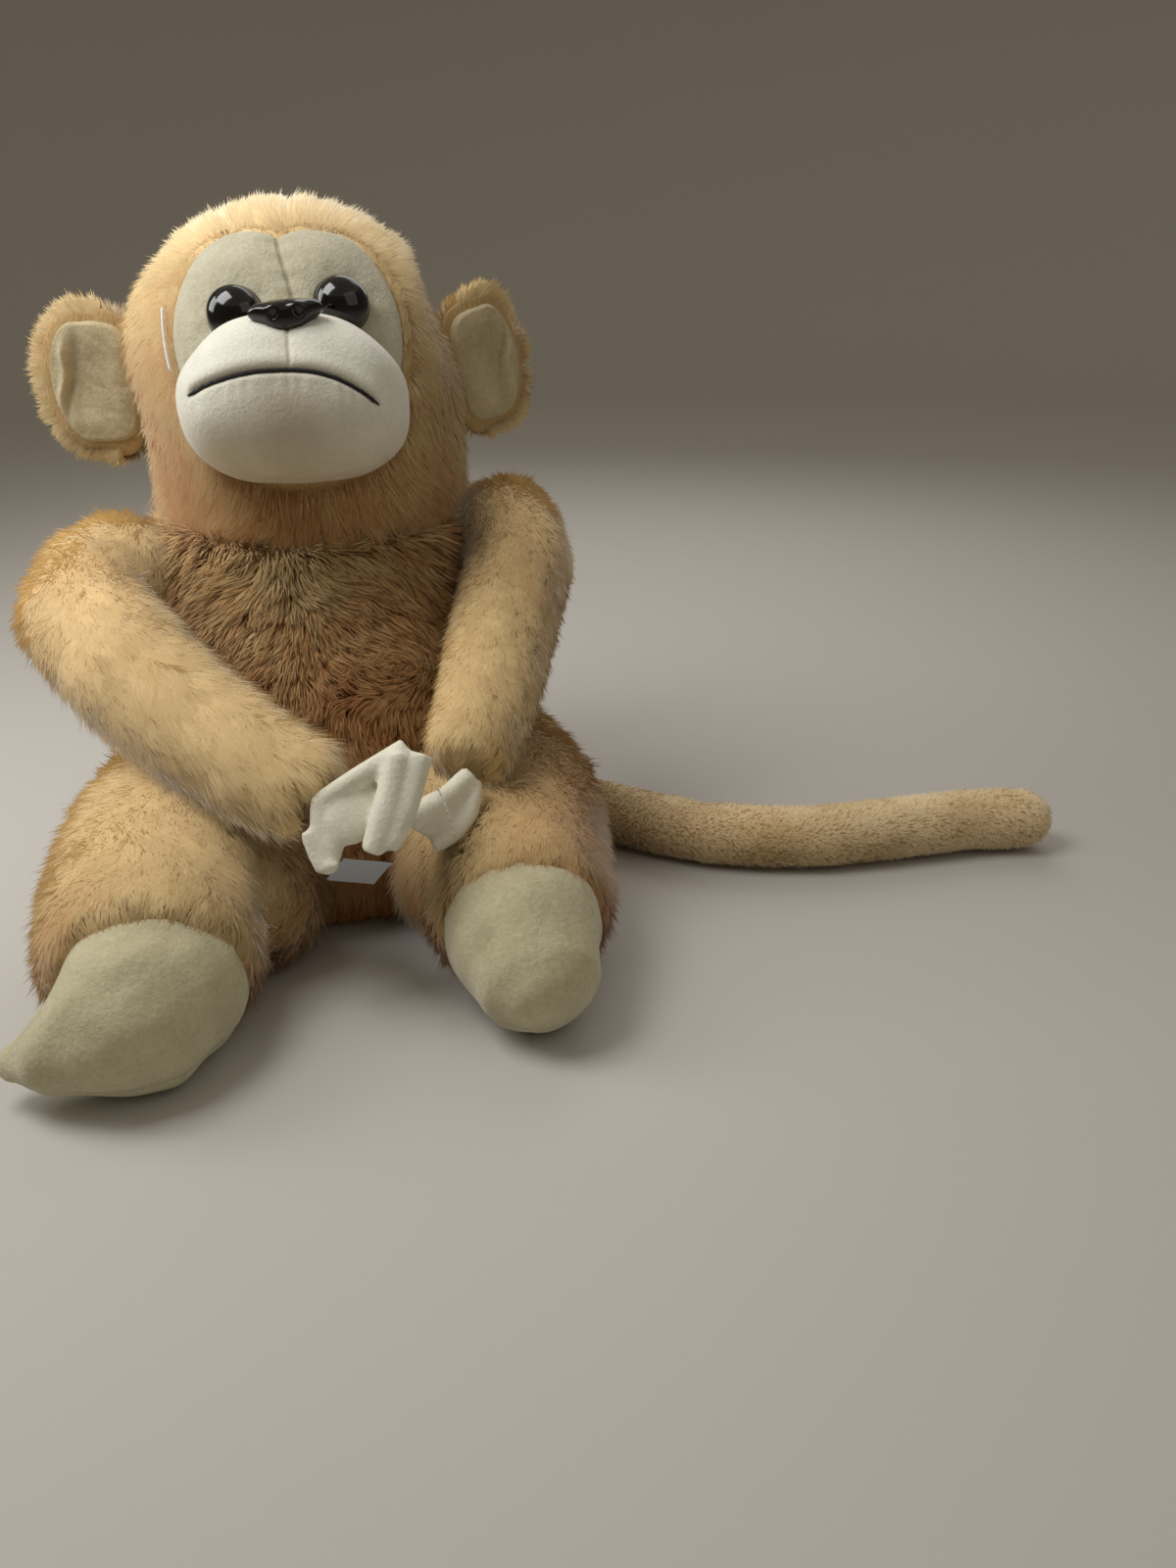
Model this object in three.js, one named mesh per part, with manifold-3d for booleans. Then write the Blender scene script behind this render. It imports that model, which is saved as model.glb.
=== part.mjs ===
// Stuffed monkey, seated, built from sewn panels over loose stuffing, with moulded eyes and nose.
// Millimetres, +Z up. The monkey faces -Y, so its right side is at -X. The origin is the middle
// of the flat seat, on the surface it sits on.

import * as THREE from 'three';
import * as BufferGeometryUtils from 'three/addons/utils/BufferGeometryUtils.js';
import Module from 'manifold-3d';

const wasm = await Module();
wasm.setup();

// ---- Driving dimensions -------------------------------------------------------------------

const cloth = 2;                 // thickness of the fur fabric with its backing
const shortCloth = 1.6;          // thickness of the short-pile fabric
const gap = 0.35;                // clearance between touching pieces
const fillGap = 0.6;             // clearance between the fabric and the stuffing
const jointGap = 1.2;            // clearance at a seam that moves
const fillJointGap = 3;          // clearance between the stuffing and a moving piece
const far = 400;                 // size of the cutting blocks

const headCentre = new THREE.Vector3(2, 58, 171);
const headRadii = [53.5, 52.5, 53];
const neckRadius = 67;           // ball surface, about the head centre, where head and torso meet
const neckPadAngle = 14;         // half angle of the pad of stuffing in the neck, degrees
const neckPadLean = -9;          // the pad sits forward of straight down, degrees
const headPitch = 20;            // the face looks up by this much, degrees
const headRoll = 1;              // the chin leans to the monkey's right, degrees
const headTurned = -3;           // the face turns to the monkey's right, degrees

const eyeDiameter = 16;
const eyeSpacing = 34;
const eyeHeight = 5;             // above the head centre, along the face
const noseSize = [21, 8, 10];    // wide, deep, high
const eyeRim = 0.8;              // thickness of the rim under the dome
const eyeRise = 6.4;             // height of the dome above its rim
const stemRadius = 1.5;
const stemLength = 10;
const stemHoleDepth = 12;
const washerRadius = 6.5;
const washerSpan = [-8, -6.6];   // from the far face to the near face, along the stem

const muzzleCentre = new THREE.Vector3(0, -44, -18.5);
const muzzleRadii = [34, 29, 24.5];
const mouthHeight = -17.5;
const mouthHalfAngle = 58;

const neckPadThickness = 5;
const soleHeight = 9;            // the seat and the soles end at this height
const mouthDrop = 4.2;           // how far the ends of the mouth hang below its middle

const hip = { x: 44, y: 2, z: 34, radius: 34 };
const legInward = 6;             // how far a leg swings inwards, degrees

const furColour = 0xd9a066;
const paleFurColour = 0xe3bd8c;
const creamColour = 0xe9e0c6;
const maskColour = 0xd8cdb4;
const fillColour = 0xf4f2ec;
const blackColour = 0x0b0b0d;
const whiteColour = 0xf0f0f0;
const ribbonColour = 0xe4ecf4;

// ---- Solids -------------------------------------------------------------------------------

function toSolid(geometry) {
  const bare = geometry.clone();
  for (const name of ['normal', 'uv']) {
    bare.deleteAttribute(name);
  }
  const merged = BufferGeometryUtils.mergeVertices(bare, 1e-4);
  const corners = merged.index.array;
  const kept = [];
  for (let i = 0; i < corners.length; i += 3) {
    const [a, b, c] = [corners[i], corners[i + 1], corners[i + 2]];
    if (a !== b && b !== c && c !== a) {
      kept.push(a, b, c);
    }
  }
  return new wasm.Manifold(new wasm.Mesh({
    numProp: 3,
    vertProperties: new Float32Array(merged.attributes.position.array),
    triVerts: new Uint32Array(kept),
  }));
}

function toGeometry(solid) {
  const mesh = solid.getMesh();
  const geometry = new THREE.BufferGeometry();
  geometry.setAttribute('position', new THREE.BufferAttribute(mesh.vertProperties, 3));
  geometry.setIndex(new THREE.BufferAttribute(mesh.triVerts, 1));
  geometry.computeVertexNormals();
  return geometry;
}

function ellipsoid(centre, radii, sides = 20, rings = 12) {
  const geometry = new THREE.SphereGeometry(1, sides, rings);
  geometry.rotateX(Math.PI / 2);
  geometry.scale(...radii);
  geometry.translate(centre.x, centre.y, centre.z);
  return toSolid(geometry);
}

function ball(centre, radius, sides = 22, rings = 12) {
  return ellipsoid(centre, [radius, radius, radius], sides, rings);
}

// A block that covers the side of a plane that the direction points to.
function halfSpace(point, direction) {
  const geometry = new THREE.BoxGeometry(far, far, far);
  geometry.translate(0, 0, far / 2);
  const turn = new THREE.Quaternion().setFromUnitVectors(
    new THREE.Vector3(0, 0, 1), direction.clone().normalize());
  geometry.applyQuaternion(turn);
  geometry.translate(point.x, point.y, point.z);
  return toSolid(geometry);
}

function rod(from, to, radius, sides = 12) {
  const along = to.clone().sub(from);
  const geometry = new THREE.CylinderGeometry(radius, radius, along.length(), sides);
  const turn = new THREE.Quaternion().setFromUnitVectors(
    new THREE.Vector3(0, 1, 0), along.clone().normalize());
  geometry.applyQuaternion(turn);
  geometry.translate(...from.clone().add(to).multiplyScalar(0.5).toArray());
  return toSolid(geometry);
}

// Horizontal ellipses stacked on one another: rows of height, middle y, half width, half depth.
function stack(sections, shrink = 0, sides = 22, steps = 8, middleX = 0) {
  const centres = new THREE.CatmullRomCurve3(
    sections.map(([z, y]) => new THREE.Vector3(0, y, z)));
  const sizes = new THREE.CatmullRomCurve3(
    sections.map(([, , wide, deep]) => new THREE.Vector3(wide, deep, 0)));
  const profile = [new THREE.Vector2(0, 0)];
  for (let i = 0; i <= steps; i += 1) {
    profile.push(new THREE.Vector2(1, i / steps));
  }
  profile.push(new THREE.Vector2(0, 1));
  const geometry = new THREE.LatheGeometry(profile, sides);
  geometry.rotateX(Math.PI / 2);
  const place = geometry.attributes.position;
  for (let i = 0; i < place.count; i += 1) {
    const t = Math.abs(place.getZ(i));
    const middle = centres.getPoint(t);
    const size = sizes.getPoint(t);
    place.setXYZ(i,
      middleX + place.getX(i) * (size.x - shrink),
      middle.y + place.getY(i) * (size.y - shrink),
      middle.z);
  }
  return outward(geometry);
}

function outward(geometry) {
  const solid = toSolid(geometry);
  if (solid.volume() > 0) {
    return solid;
  }
  const corners = geometry.index.array;
  for (let i = 0; i < corners.length; i += 3) {
    [corners[i], corners[i + 1]] = [corners[i + 1], corners[i]];
  }
  return toSolid(geometry);
}

// A stuffed tube along a curve. The radii are spread evenly along it, and both ends are domed.
function limb(points, radii, options = {}) {
  const { shrink = 0, extend = 0, sides = 14, steps = 6, capSteps = 3 } = options;
  const curve = new THREE.CatmullRomCurve3(points);
  const size = new THREE.CatmullRomCurve3(radii.map((r) => new THREE.Vector3(r, 0, 0)));
  const length = curve.getLength();
  const profile = [];
  const first = radii[0] - shrink;
  const last = radii[radii.length - 1] - shrink;
  for (let i = 0; i < capSteps; i += 1) {
    const angle = (i / capSteps) * Math.PI / 2;
    profile.push(new THREE.Vector2(first * Math.sin(angle), -extend - first * Math.cos(angle)));
  }
  for (let i = 0; i <= steps; i += 1) {
    const t = i / steps;
    const stretch = t === 0 ? -extend : t === 1 ? extend : 0;
    profile.push(new THREE.Vector2(size.getPoint(t).x - shrink, t * length + stretch));
  }
  for (let i = 1; i <= capSteps; i += 1) {
    const angle = (i / capSteps) * Math.PI / 2;
    const radius = i === capSteps ? 0 : last * Math.cos(angle);
    profile.push(new THREE.Vector2(radius, length + extend + last * Math.sin(angle)));
  }
  const geometry = new THREE.LatheGeometry(profile, sides);
  const place = geometry.attributes.position;
  const up = new THREE.Vector3(0, 0, 1);
  for (let i = 0; i < place.count; i += 1) {
    const along = place.getY(i);
    const t = THREE.MathUtils.clamp(along / length, 0, 1);
    const middle = curve.getPointAt(t);
    const tangent = curve.getTangentAt(t);
    const side = new THREE.Vector3().crossVectors(tangent, up).normalize();
    const over = new THREE.Vector3().crossVectors(side, tangent);
    middle.addScaledVector(tangent, along - t * length);
    middle.addScaledVector(side, place.getX(i));
    middle.addScaledVector(over, place.getZ(i));
    place.setXYZ(i, middle.x, middle.y, middle.z);
  }
  return outward(geometry);
}

// ---- Assembly -----------------------------------------------------------------------------

const monkey = new THREE.Group();

function add(parent, name, solid, colour, roughness = 0.95) {
  const material = new THREE.MeshStandardMaterial({ color: colour, roughness, metalness: 0 });
  const mesh = new THREE.Mesh(toGeometry(solid), material);
  mesh.name = name;
  parent.add(mesh);
  return mesh;
}

const floor = halfSpace(new THREE.Vector3(0, 0, 0), new THREE.Vector3(0, 0, 1));
const sides = [['right', -1], ['left', 1]];
const axisX = new THREE.Vector3(1, 0, 0);
const axisY = new THREE.Vector3(0, 1, 0);

// ---- Torso --------------------------------------------------------------------------------

const torsoSections = [
  [-8, 8, 30, 24],
  [0, 11, 42, 32],
  [8, 11, 51, 38],
  [28, 10, 55, 42],
  [52, 17, 57, 45],
  [80, 28, 56, 44],
  [106, 41, 52, 40],
  [128, 52, 51, 39],
  [150, 60, 51, 42],
];

const rightArmPath = [[-64, 38, 112], [-75, 14, 108], [-62, -16, 97], [-36, -44, 79], [-13, -61, 68]];
const leftArmPath = [[67, 36, 119], [68, 16, 113], [57, -12, 96], [45, -40, 79], [38, -55, 71]];
const arms = {
  right: { path: rightArmPath, radii: [17, 17.5, 17, 16, 13.5] },
  left: { path: leftArmPath, radii: [16, 16, 15.5, 14.5, 12] },
};
const toVectors = (rows) => rows.map((row) => new THREE.Vector3(...row));

const legs = {
  right: {
    path: [[-hip.x, hip.y, hip.z], [-53, -28, 33], [-59, -56, 30], [-60, -83, 26]],
    radii: [hip.radius, 34, 31.5, 28],
    foot: { path: [[-58, -83, 23], [-67, -95, 21], [-84, -100, 16], [-95, -98, 13]],
      radii: [25.5, 24, 15, 6] },
  },
  left: {
    path: [[hip.x, hip.y, hip.z], [50, -28, 33], [50, -54, 29], [48, -80, 25]],
    radii: [hip.radius, 33, 29, 26],
    foot: { path: [[47.5, -80, 24], [47, -91, 22.5], [47.5, -98, 20.5]], radii: [25, 24, 20.5] },
  },
};

const tailRoot = new THREE.Vector3(34, 46, 16);
const tailRadius = 10.5;

// The room that a leg takes up at rest and when it swings inwards.
function legSocket(side, sign, spare, fine) {
  const { path, radii } = legs[side];
  const leg = limb(toVectors(path), radii, { shrink: -spare, sides: fine + 4, steps: 4 });
  const geometry = toGeometry(leg);
  geometry.translate(-sign * hip.x, -hip.y, 0);
  geometry.rotateZ(THREE.MathUtils.degToRad(-sign * legInward));
  geometry.translate(sign * hip.x, hip.y, 0);
  return leg.add(toSolid(geometry));
}

// Everything that the torso makes room for: the head, the arms, the legs and the tail.
function socketsFor(spare, fine) {
  let sockets = ball(headCentre, neckRadius + spare, 2 * fine - 4, fine);
  for (const [side, sign] of sides) {
    sockets = sockets.add(legSocket(side, sign, spare + 0.5, fine));
    const { path, radii } = arms[side];
    sockets = sockets.add(limb(toVectors(path), radii, { shrink: -spare, sides: fine - 2, steps: 8 }));
  }
  const tail = toVectors(tailBase.slice(0, 3));
  const round = { sides: fine - 4, steps: 4 };
  return sockets.add(limb(tail, tail.map(() => tailRadius + spare), round));
}

function buildTorso() {
  const outer = stack(torsoSections).intersect(floor);
  const up = new THREE.Vector3(0, 0, 1);
  const innerFloor = halfSpace(new THREE.Vector3(0, 0, cloth), up);
  const inner = stack(torsoSections, cloth, 16, 6).intersect(innerFloor);
  const sockets = socketsFor(jointGap, 16);
  const shell = outer.subtract(inner).subtract(sockets);
  const above = halfSpace(new THREE.Vector3(0, 0, soleHeight + gap), up);
  const below = halfSpace(new THREE.Vector3(0, 0, soleHeight), new THREE.Vector3(0, 0, -1));
  const seamY = 12;
  const lean = new THREE.Vector3(0, 1, -0.42);
  const behind = halfSpace(new THREE.Vector3(0, seamY + gap, 45), lean);
  const front = halfSpace(new THREE.Vector3(0, seamY, 45), lean.clone().negate());
  const leftHalf = halfSpace(new THREE.Vector3(gap / 2, 0, 0), axisX);
  const rightHalf = halfSpace(new THREE.Vector3(-gap / 2, 0, 0), axisX.clone().negate());
  const wall = shell.intersect(above);
  add(monkey, 'torso_front_panel', wall.intersect(front), furColour);
  add(monkey, 'torso_back_left_panel', wall.intersect(behind).intersect(leftHalf), furColour);
  add(monkey, 'torso_back_right_panel', wall.intersect(behind).intersect(rightHalf), furColour);
  add(monkey, 'seat_panel', shell.intersect(below), furColour);
  const fillFloor = halfSpace(new THREE.Vector3(0, 0, cloth + gap), up);
  const fill = stack(torsoSections, cloth + fillGap, 16, 6).intersect(fillFloor)
    .subtract(socketsFor(fillJointGap, 11));
  add(monkey, 'torso_stuffing', fill, fillColour);
}

// ---- Neck and head ------------------------------------------------------------------------

const columnSections = [
  [92, 38, 48, 38],
  [118, 50, 50.5, 39],
  [138, 56, 52, 43],
  [156, 58, 53, 49],
  [172, 58, 53, 52],
];

function buildNeck() {
  const shell = ball(headCentre, neckRadius - gap, 28, 16)
    .subtract(ball(headCentre, neckRadius - neckPadThickness, 28, 16));
  const reach = neckRadius * Math.tan(THREE.MathUtils.degToRad(neckPadAngle));
  const cone = new THREE.ConeGeometry(reach, neckRadius, 24);
  cone.rotateX(Math.PI / 2);
  cone.translate(0, 0, -neckRadius / 2);
  cone.rotateX(THREE.MathUtils.degToRad(neckPadLean));
  cone.translate(headCentre.x, headCentre.y, headCentre.z);
  add(monkey, 'neck_stuffing', shell.intersect(toSolid(cone)), fillColour);
}

// The head is built about its own centre, facing -Y, then turned into place with its group.
const head = new THREE.Group();
head.position.copy(headCentre);
head.rotation.set(...[-headPitch, headRoll, headTurned].map(THREE.MathUtils.degToRad));
monkey.add(head);
head.updateMatrixWorld(true);

// Turns a solid given in the part's frame into the head's own frame.
function intoHead(solid) {
  const geometry = toGeometry(solid);
  geometry.applyMatrix4(head.matrixWorld.clone().invert());
  return toSolid(geometry);
}

const here = new THREE.Vector3(0, 0, 0);

function maskOutline(grow) {
  const wide = 35.5 + grow;
  const top = 34 + grow;
  const notch = 31 + grow;
  const low = -24 - grow;
  const shape = new THREE.Shape();
  shape.moveTo(0, notch);
  shape.bezierCurveTo(7, top + 2, 22, top + 1, 28, top - 9);
  shape.bezierCurveTo(34, top - 18, wide, 6, wide - 2, -6);
  shape.quadraticCurveTo(wide - 4, low, 0, low);
  shape.quadraticCurveTo(-wide + 4, low, -wide + 2, -6);
  shape.bezierCurveTo(-wide, 6, -34, top - 18, -28, top - 9);
  shape.bezierCurveTo(-22, top + 1, -7, top + 2, 0, notch);
  return shape;
}

function maskBlock(grow) {
  const geometry = new THREE.ExtrudeGeometry(maskOutline(grow), {
    depth: 80, bevelEnabled: false, curveSegments: 3,
  });
  geometry.rotateX(Math.PI / 2);
  return outward(BufferGeometryUtils.mergeVertices(geometry, 1e-4));
}

function onHead(x, z) {
  const [a, b, c] = headRadii;
  const y = -b * Math.sqrt(1 - (x / a) ** 2 - (z / c) ** 2);
  return new THREE.Vector3(x, y, z);
}

function onMuzzle(x, z, lift = 0) {
  const [a, b, c] = muzzleRadii.map((r) => r + lift);
  const [u, v] = [x / a, (z - muzzleCentre.z) / c];
  return new THREE.Vector3(x, muzzleCentre.y - b * Math.sqrt(1 - u * u - v * v), z);
}

// A moulded button on a stem: a dome with a thin rim, turned about Y and looking along -Y.
function eyeShape() {
  const radius = eyeDiameter / 2;
  const flange = radius + 0.6;
  const profile = [
    new THREE.Vector2(0, -stemLength),
    new THREE.Vector2(stemRadius, -stemLength),
    new THREE.Vector2(stemRadius, 0),
    new THREE.Vector2(flange, 0),
    new THREE.Vector2(flange, eyeRim),
  ];
  const domeSteps = 5;
  for (let i = 0; i < domeSteps; i += 1) {
    const angle = (i / domeSteps) * Math.PI / 2;
    profile.push(
      new THREE.Vector2(radius * Math.cos(angle), eyeRim + eyeRise * Math.sin(angle)));
  }
  profile.push(new THREE.Vector2(0, eyeRim + eyeRise));
  return outward(new THREE.LatheGeometry(profile, 20));
}

function washerShape() {
  const hole = stemRadius + gap;
  const [farFace, nearFace] = washerSpan;
  const profile = [
    new THREE.Vector2(hole, farFace),
    new THREE.Vector2(washerRadius, farFace),
    new THREE.Vector2(washerRadius, nearFace),
    new THREE.Vector2(hole, nearFace),
    new THREE.Vector2(hole, farFace),
  ];
  return outward(new THREE.LatheGeometry(profile, 14));
}

function noseShape() {
  const [wide, deep, high] = noseSize;
  let solid = ellipsoid(new THREE.Vector3(0, 0, 1.4), [wide / 2, deep / 2, high * 0.36], 16, 8);
  solid = solid.add(ellipsoid(new THREE.Vector3(0, 0, -1.6), [wide * 0.3, deep * 0.46, high * 0.34],
    14, 8));
  for (const sign of [-1, 1]) {
    const nostril = new THREE.Vector3(sign * 3.6, -deep / 2 + 0.2, -1.6);
    solid = solid.subtract(ellipsoid(nostril, [1.7, 1.4, 1.1], 8, 5));
  }
  return solid.add(rod(new THREE.Vector3(0, 0, 0), new THREE.Vector3(0, 12, 0), stemRadius));
}

function turned(solid, turn, place) {
  const geometry = toGeometry(solid);
  geometry.applyQuaternion(turn);
  geometry.translate(place.x, place.y, place.z);
  return toSolid(geometry);
}

function buildHead() {
  const column = (shrink, fine = 20) => intoHead(stack(columnSections, shrink, fine, 5, headCentre.x));
  const skull = (grow, fine = 22) => ellipsoid(here, headRadii.map((r) => r + grow), fine,
    fine / 2 + 1);
  const outer = skull(0).add(column(0));
  const inner = skull(-cloth, 18).add(column(cloth, 16));
  const bottom = ball(here, neckRadius, 28, 16);
  const shell = outer.subtract(inner).intersect(bottom).subtract(maskBlock(gap));
  const leftHalf = halfSpace(new THREE.Vector3(gap / 2, 0, 0), axisX);
  const rightHalf = halfSpace(new THREE.Vector3(-gap / 2, 0, 0), axisX.clone().negate());
  const muzzle = (grow, fine = 20) => ellipsoid(muzzleCentre, muzzleRadii.map((r) => r + grow), fine,
    fine / 2 + 2);
  const fur = shell.subtract(muzzle(gap));
  add(head, 'head_panel_left', fur.intersect(leftHalf), furColour);
  add(head, 'head_panel_right', fur.intersect(rightHalf), furColour);

  // Eyes and nose, with the pockets that their stems and washers take up.
  const face = [];
  for (const [side, sign] of sides) {
    const place = onHead(sign * eyeSpacing / 2, eyeHeight);
    const look = new THREE.Vector3(sign * 0.2, -1, 0.06).normalize();
    const turn = new THREE.Quaternion().setFromUnitVectors(axisY, look);
    place.addScaledVector(look, eyeRim);
    face.push({ side, place, look, turn });
  }
  const nosePlace = onMuzzle(0, 1.5, 0.6);
  let holes = null;
  for (const eye of face) {
    const well = rod(eye.place, eye.place.clone().addScaledVector(eye.look, -13), 8, 12);
    holes = holes ? holes.add(well) : well;
    const wide = rod(eye.place.clone().addScaledVector(eye.look, 9),
      eye.place.clone().addScaledVector(eye.look, -gap), eyeDiameter / 2 + 1, 18);
    eye.socket = wide;
    add(head, `eye_${eye.side}`, turned(eyeShape(), eye.turn, eye.place), blackColour, 0.08);
    add(head, `eye_washer_${eye.side}`, turned(washerShape(), eye.turn, eye.place),
      whiteColour, 0.5);
  }
  const noseTurn = new THREE.Quaternion().setFromAxisAngle(axisX, THREE.MathUtils.degToRad(-22));
  const noseSolid = turned(noseShape(), noseTurn, nosePlace);
  add(head, 'nose', noseSolid, blackColour, 0.12);
  const noseBack = new THREE.Vector3(0, 1, 0).applyQuaternion(noseTurn);
  const noseWell = rod(nosePlace, nosePlace.clone().addScaledVector(noseBack, 14), 6.5, 18);
  const noseGeometry = new THREE.CylinderGeometry(6, 6, 1.4, 18);
  noseGeometry.translate(0, 9.5, 0);
  const noseHole = rod(new THREE.Vector3(0, 5, 0), new THREE.Vector3(0, 14, 0), stemRadius + gap, 12);
  const noseWasher = toSolid(noseGeometry).subtract(noseHole);
  add(head, 'nose_washer', turned(noseWasher, noseTurn, nosePlace), whiteColour, 0.5);

  // Short-pile panels of the face.
  const stemHoles = face.reduce((sum, eye) => {
    const hole = rod(eye.place.clone().addScaledVector(eye.look, 2),
      eye.place.clone().addScaledVector(eye.look, -stemHoleDepth), stemRadius + gap, 12);
    return sum ? sum.add(hole) : hole;
  }, null);
  let noseRoom = rod(nosePlace.clone().addScaledVector(noseBack, -2),
    nosePlace.clone().addScaledVector(noseBack, 14), stemRadius + gap, 12);
  noseRoom = noseRoom.add(turned(ellipsoid(new THREE.Vector3(0, 0, 0),
    [noseSize[0] / 2 + gap + 0.4, noseSize[1] / 2 + gap + 0.2, noseSize[2] / 2 + 1.4], 24, 14),
  noseTurn, nosePlace));
  let eyeRoom = null;
  for (const eye of face) {
    eyeRoom = eyeRoom ? eyeRoom.add(eye.socket) : eye.socket;
  }
  const maskShell = skull(0).subtract(skull(-shortCloth, 18)).intersect(maskBlock(0));
  const mask = maskShell.subtract(muzzle(gap)).subtract(stemHoles).subtract(noseRoom)
    .subtract(eyeRoom);
  add(head, 'face_panel_left', mask.intersect(leftHalf), maskColour);
  add(head, 'face_panel_right', mask.intersect(rightHalf), maskColour);

  const muzzleShell = muzzle(0).subtract(muzzle(-shortCloth, 16)).subtract(skull(gap))
    .subtract(noseRoom).subtract(eyeRoom);
  const upper = halfSpace(new THREE.Vector3(0, 0, mouthHeight + gap / 2),
    new THREE.Vector3(0, 0, 1));
  const lower = halfSpace(new THREE.Vector3(0, 0, mouthHeight - gap / 2),
    new THREE.Vector3(0, 0, -1));
  add(head, 'muzzle_upper_left', muzzleShell.intersect(upper).intersect(leftHalf), creamColour);
  add(head, 'muzzle_upper_right', muzzleShell.intersect(upper).intersect(rightHalf), creamColour);
  const throat = halfSpace(new THREE.Vector3(0, 0, 0), new THREE.Vector3(0, -1, 0));
  const chin = muzzleShell.intersect(lower).intersect(throat);
  add(head, 'chin_panel', chin, creamColour);

  // The mouth is a fine cord of thread that lies over the seam and drops at both ends.
  const mouthPoints = [];
  const mouthSteps = 12;
  for (let i = 0; i <= mouthSteps; i += 1) {
    const part = (i / mouthSteps) * 2 - 1;
    const angle = THREE.MathUtils.degToRad(mouthHalfAngle) * part;
    const drop = mouthDrop * part * part;
    mouthPoints.push(onMuzzle(muzzleRadii[0] * Math.sin(angle), mouthHeight - drop, 0.9));
  }
  add(head, 'mouth_stitch', threadAlong(mouthPoints, 0.5, 16), blackColour, 0.7);

  // One mass of stuffing fills the skull, the neck column and the muzzle.
  const fillSkull = skull(-cloth - fillGap, 18).add(column(cloth + fillGap, 16));
  const fillMuzzle = muzzle(-shortCloth - fillGap, 16);
  const fill = fillSkull.intersect(ball(here, neckRadius - neckPadThickness - gap, 14, 9)).add(fillMuzzle);
  const cleared = fill.subtract(holes).subtract(noseWell).subtract(noseRoom).subtract(eyeRoom);
  add(head, 'head_stuffing', cleared, fillColour);
}

function threadAlong(points, radius, steps) {
  const outline = new THREE.Shape();
  outline.absarc(0, 0, radius, 0, Math.PI * 2, false);
  const geometry = new THREE.ExtrudeGeometry(outline, {
    steps, curveSegments: 2, bevelEnabled: false, extrudePath: new THREE.CatmullRomCurve3(points),
  });
  return outward(BufferGeometryUtils.mergeVertices(geometry, 1e-5));
}

// ---- Ears ---------------------------------------------------------------------------------

const ear = { high: 23.5, thick: 6, y: 65, z: 173 };
const ears = {
  right: { x: -70, out: 15.5, sweep: -18 },
  left: { x: 70, out: 14.5, sweep: 30 },
};

function buildEars() {
  for (const [side] of sides) {
    const { x, out, sweep } = ears[side];
    const group = new THREE.Group();
    group.position.set(x, ear.y, ear.z);
    group.rotation.set(0, 0, THREE.MathUtils.degToRad(sweep));
    monkey.add(group);
    const back = ellipsoid(here, [out, ear.thick, ear.high], 16, 10)
      .intersect(halfSpace(new THREE.Vector3(0, gap / 2, 0), axisY));
    const front = ellipsoid(here, [out - 2.5, ear.thick * 0.5, ear.high - 3], 16, 10)
      .intersect(halfSpace(new THREE.Vector3(0, -gap / 2, 0), axisY.clone().negate()));
    add(group, `ear_back_${side}`, back, paleFurColour);
    add(group, `ear_front_${side}`, front, creamColour);
  }
}

// ---- Arms and hands -----------------------------------------------------------------------

const hands = {
  right: {
    palm: { at: [3, -73.5, 66], size: [14, 5, 17], turn: [-30, 24, 0] },
    digits: [
      { from: [21, -74, 78], to: [10, -84, 61], radius: 4.2 },
      { from: [15, -72, 78], to: [4, -80, 66], radius: 4 },
      { from: [-9, -74, 62], to: [-9, -81, 53], radius: 4 },
    ],
  },
  left: {
    palm: { at: [31, -65, 62.5], size: [12, 4.5, 11], turn: [-30, -20, 0] },
    digits: [
      { from: [30, -66, 62], to: [20, -68, 54], radius: 3.8 },
    ],
  },
};

function handShape({ palm, digits }) {
  const turn = new THREE.Quaternion().setFromEuler(
    new THREE.Euler(...palm.turn.map(THREE.MathUtils.degToRad)));
  let solid = turned(ellipsoid(here, palm.size, 16, 10), turn, new THREE.Vector3(...palm.at));
  for (const digit of digits) {
    solid = solid.add(limb(toVectors([digit.from, digit.to]), [digit.radius, digit.radius],
      { sides: 8, steps: 1, capSteps: 2 }));
  }
  const split = new THREE.Vector3(0, -1, 0).applyQuaternion(turn);
  return { solid, split, middle: new THREE.Vector3(...palm.at) };
}

function buildArms() {
  for (const [side] of sides) {
    const { path, radii } = arms[side];
    const points = toVectors(path);
    const wrist = points[points.length - 1];
    const before = points[points.length - 2];
    const out = wrist.clone().sub(before).normalize();
    const cut = halfSpace(wrist.clone().addScaledVector(out, 2), out);
    const outer = limb(points, radii, { steps: 8 }).subtract(cut);
    const inner = limb(points, radii, { shrink: cloth, extend: 6, sides: 10, steps: 8 });
    const shoulder = points[0];
    const inward = shoulder.clone().sub(points[1]).normalize();
    const open = halfSpace(shoulder.clone().addScaledVector(inward, radii[0] * 0.55), inward);
    add(monkey, `sleeve_${side}`, outer.subtract(inner).subtract(open), paleFurColour);
    const fillCut = halfSpace(wrist.clone().addScaledVector(out, 1), out);
    add(monkey, `arm_stuffing_${side}`,
      limb(points, radii, { shrink: cloth + fillGap, sides: 10, steps: 8 }).subtract(fillCut), fillColour);
    const hand = handShape(hands[side]);
    const cuff = limb(points, radii, { shrink: -gap, steps: 8 }).subtract(
      halfSpace(wrist.clone().addScaledVector(out, 2 + gap), out));
    const body = hand.solid.subtract(cuff);
    const back = halfSpace(hand.middle.clone().addScaledVector(hand.split, gap / 2), hand.split);
    const palm = halfSpace(hand.middle.clone().addScaledVector(hand.split, -gap / 2),
      hand.split.clone().negate());
    add(monkey, `hand_back_${side}`, body.intersect(back), creamColour);
    add(monkey, `hand_palm_${side}`, body.intersect(palm), creamColour);
  }
}

// ---- Legs and feet ------------------------------------------------------------------------

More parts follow.
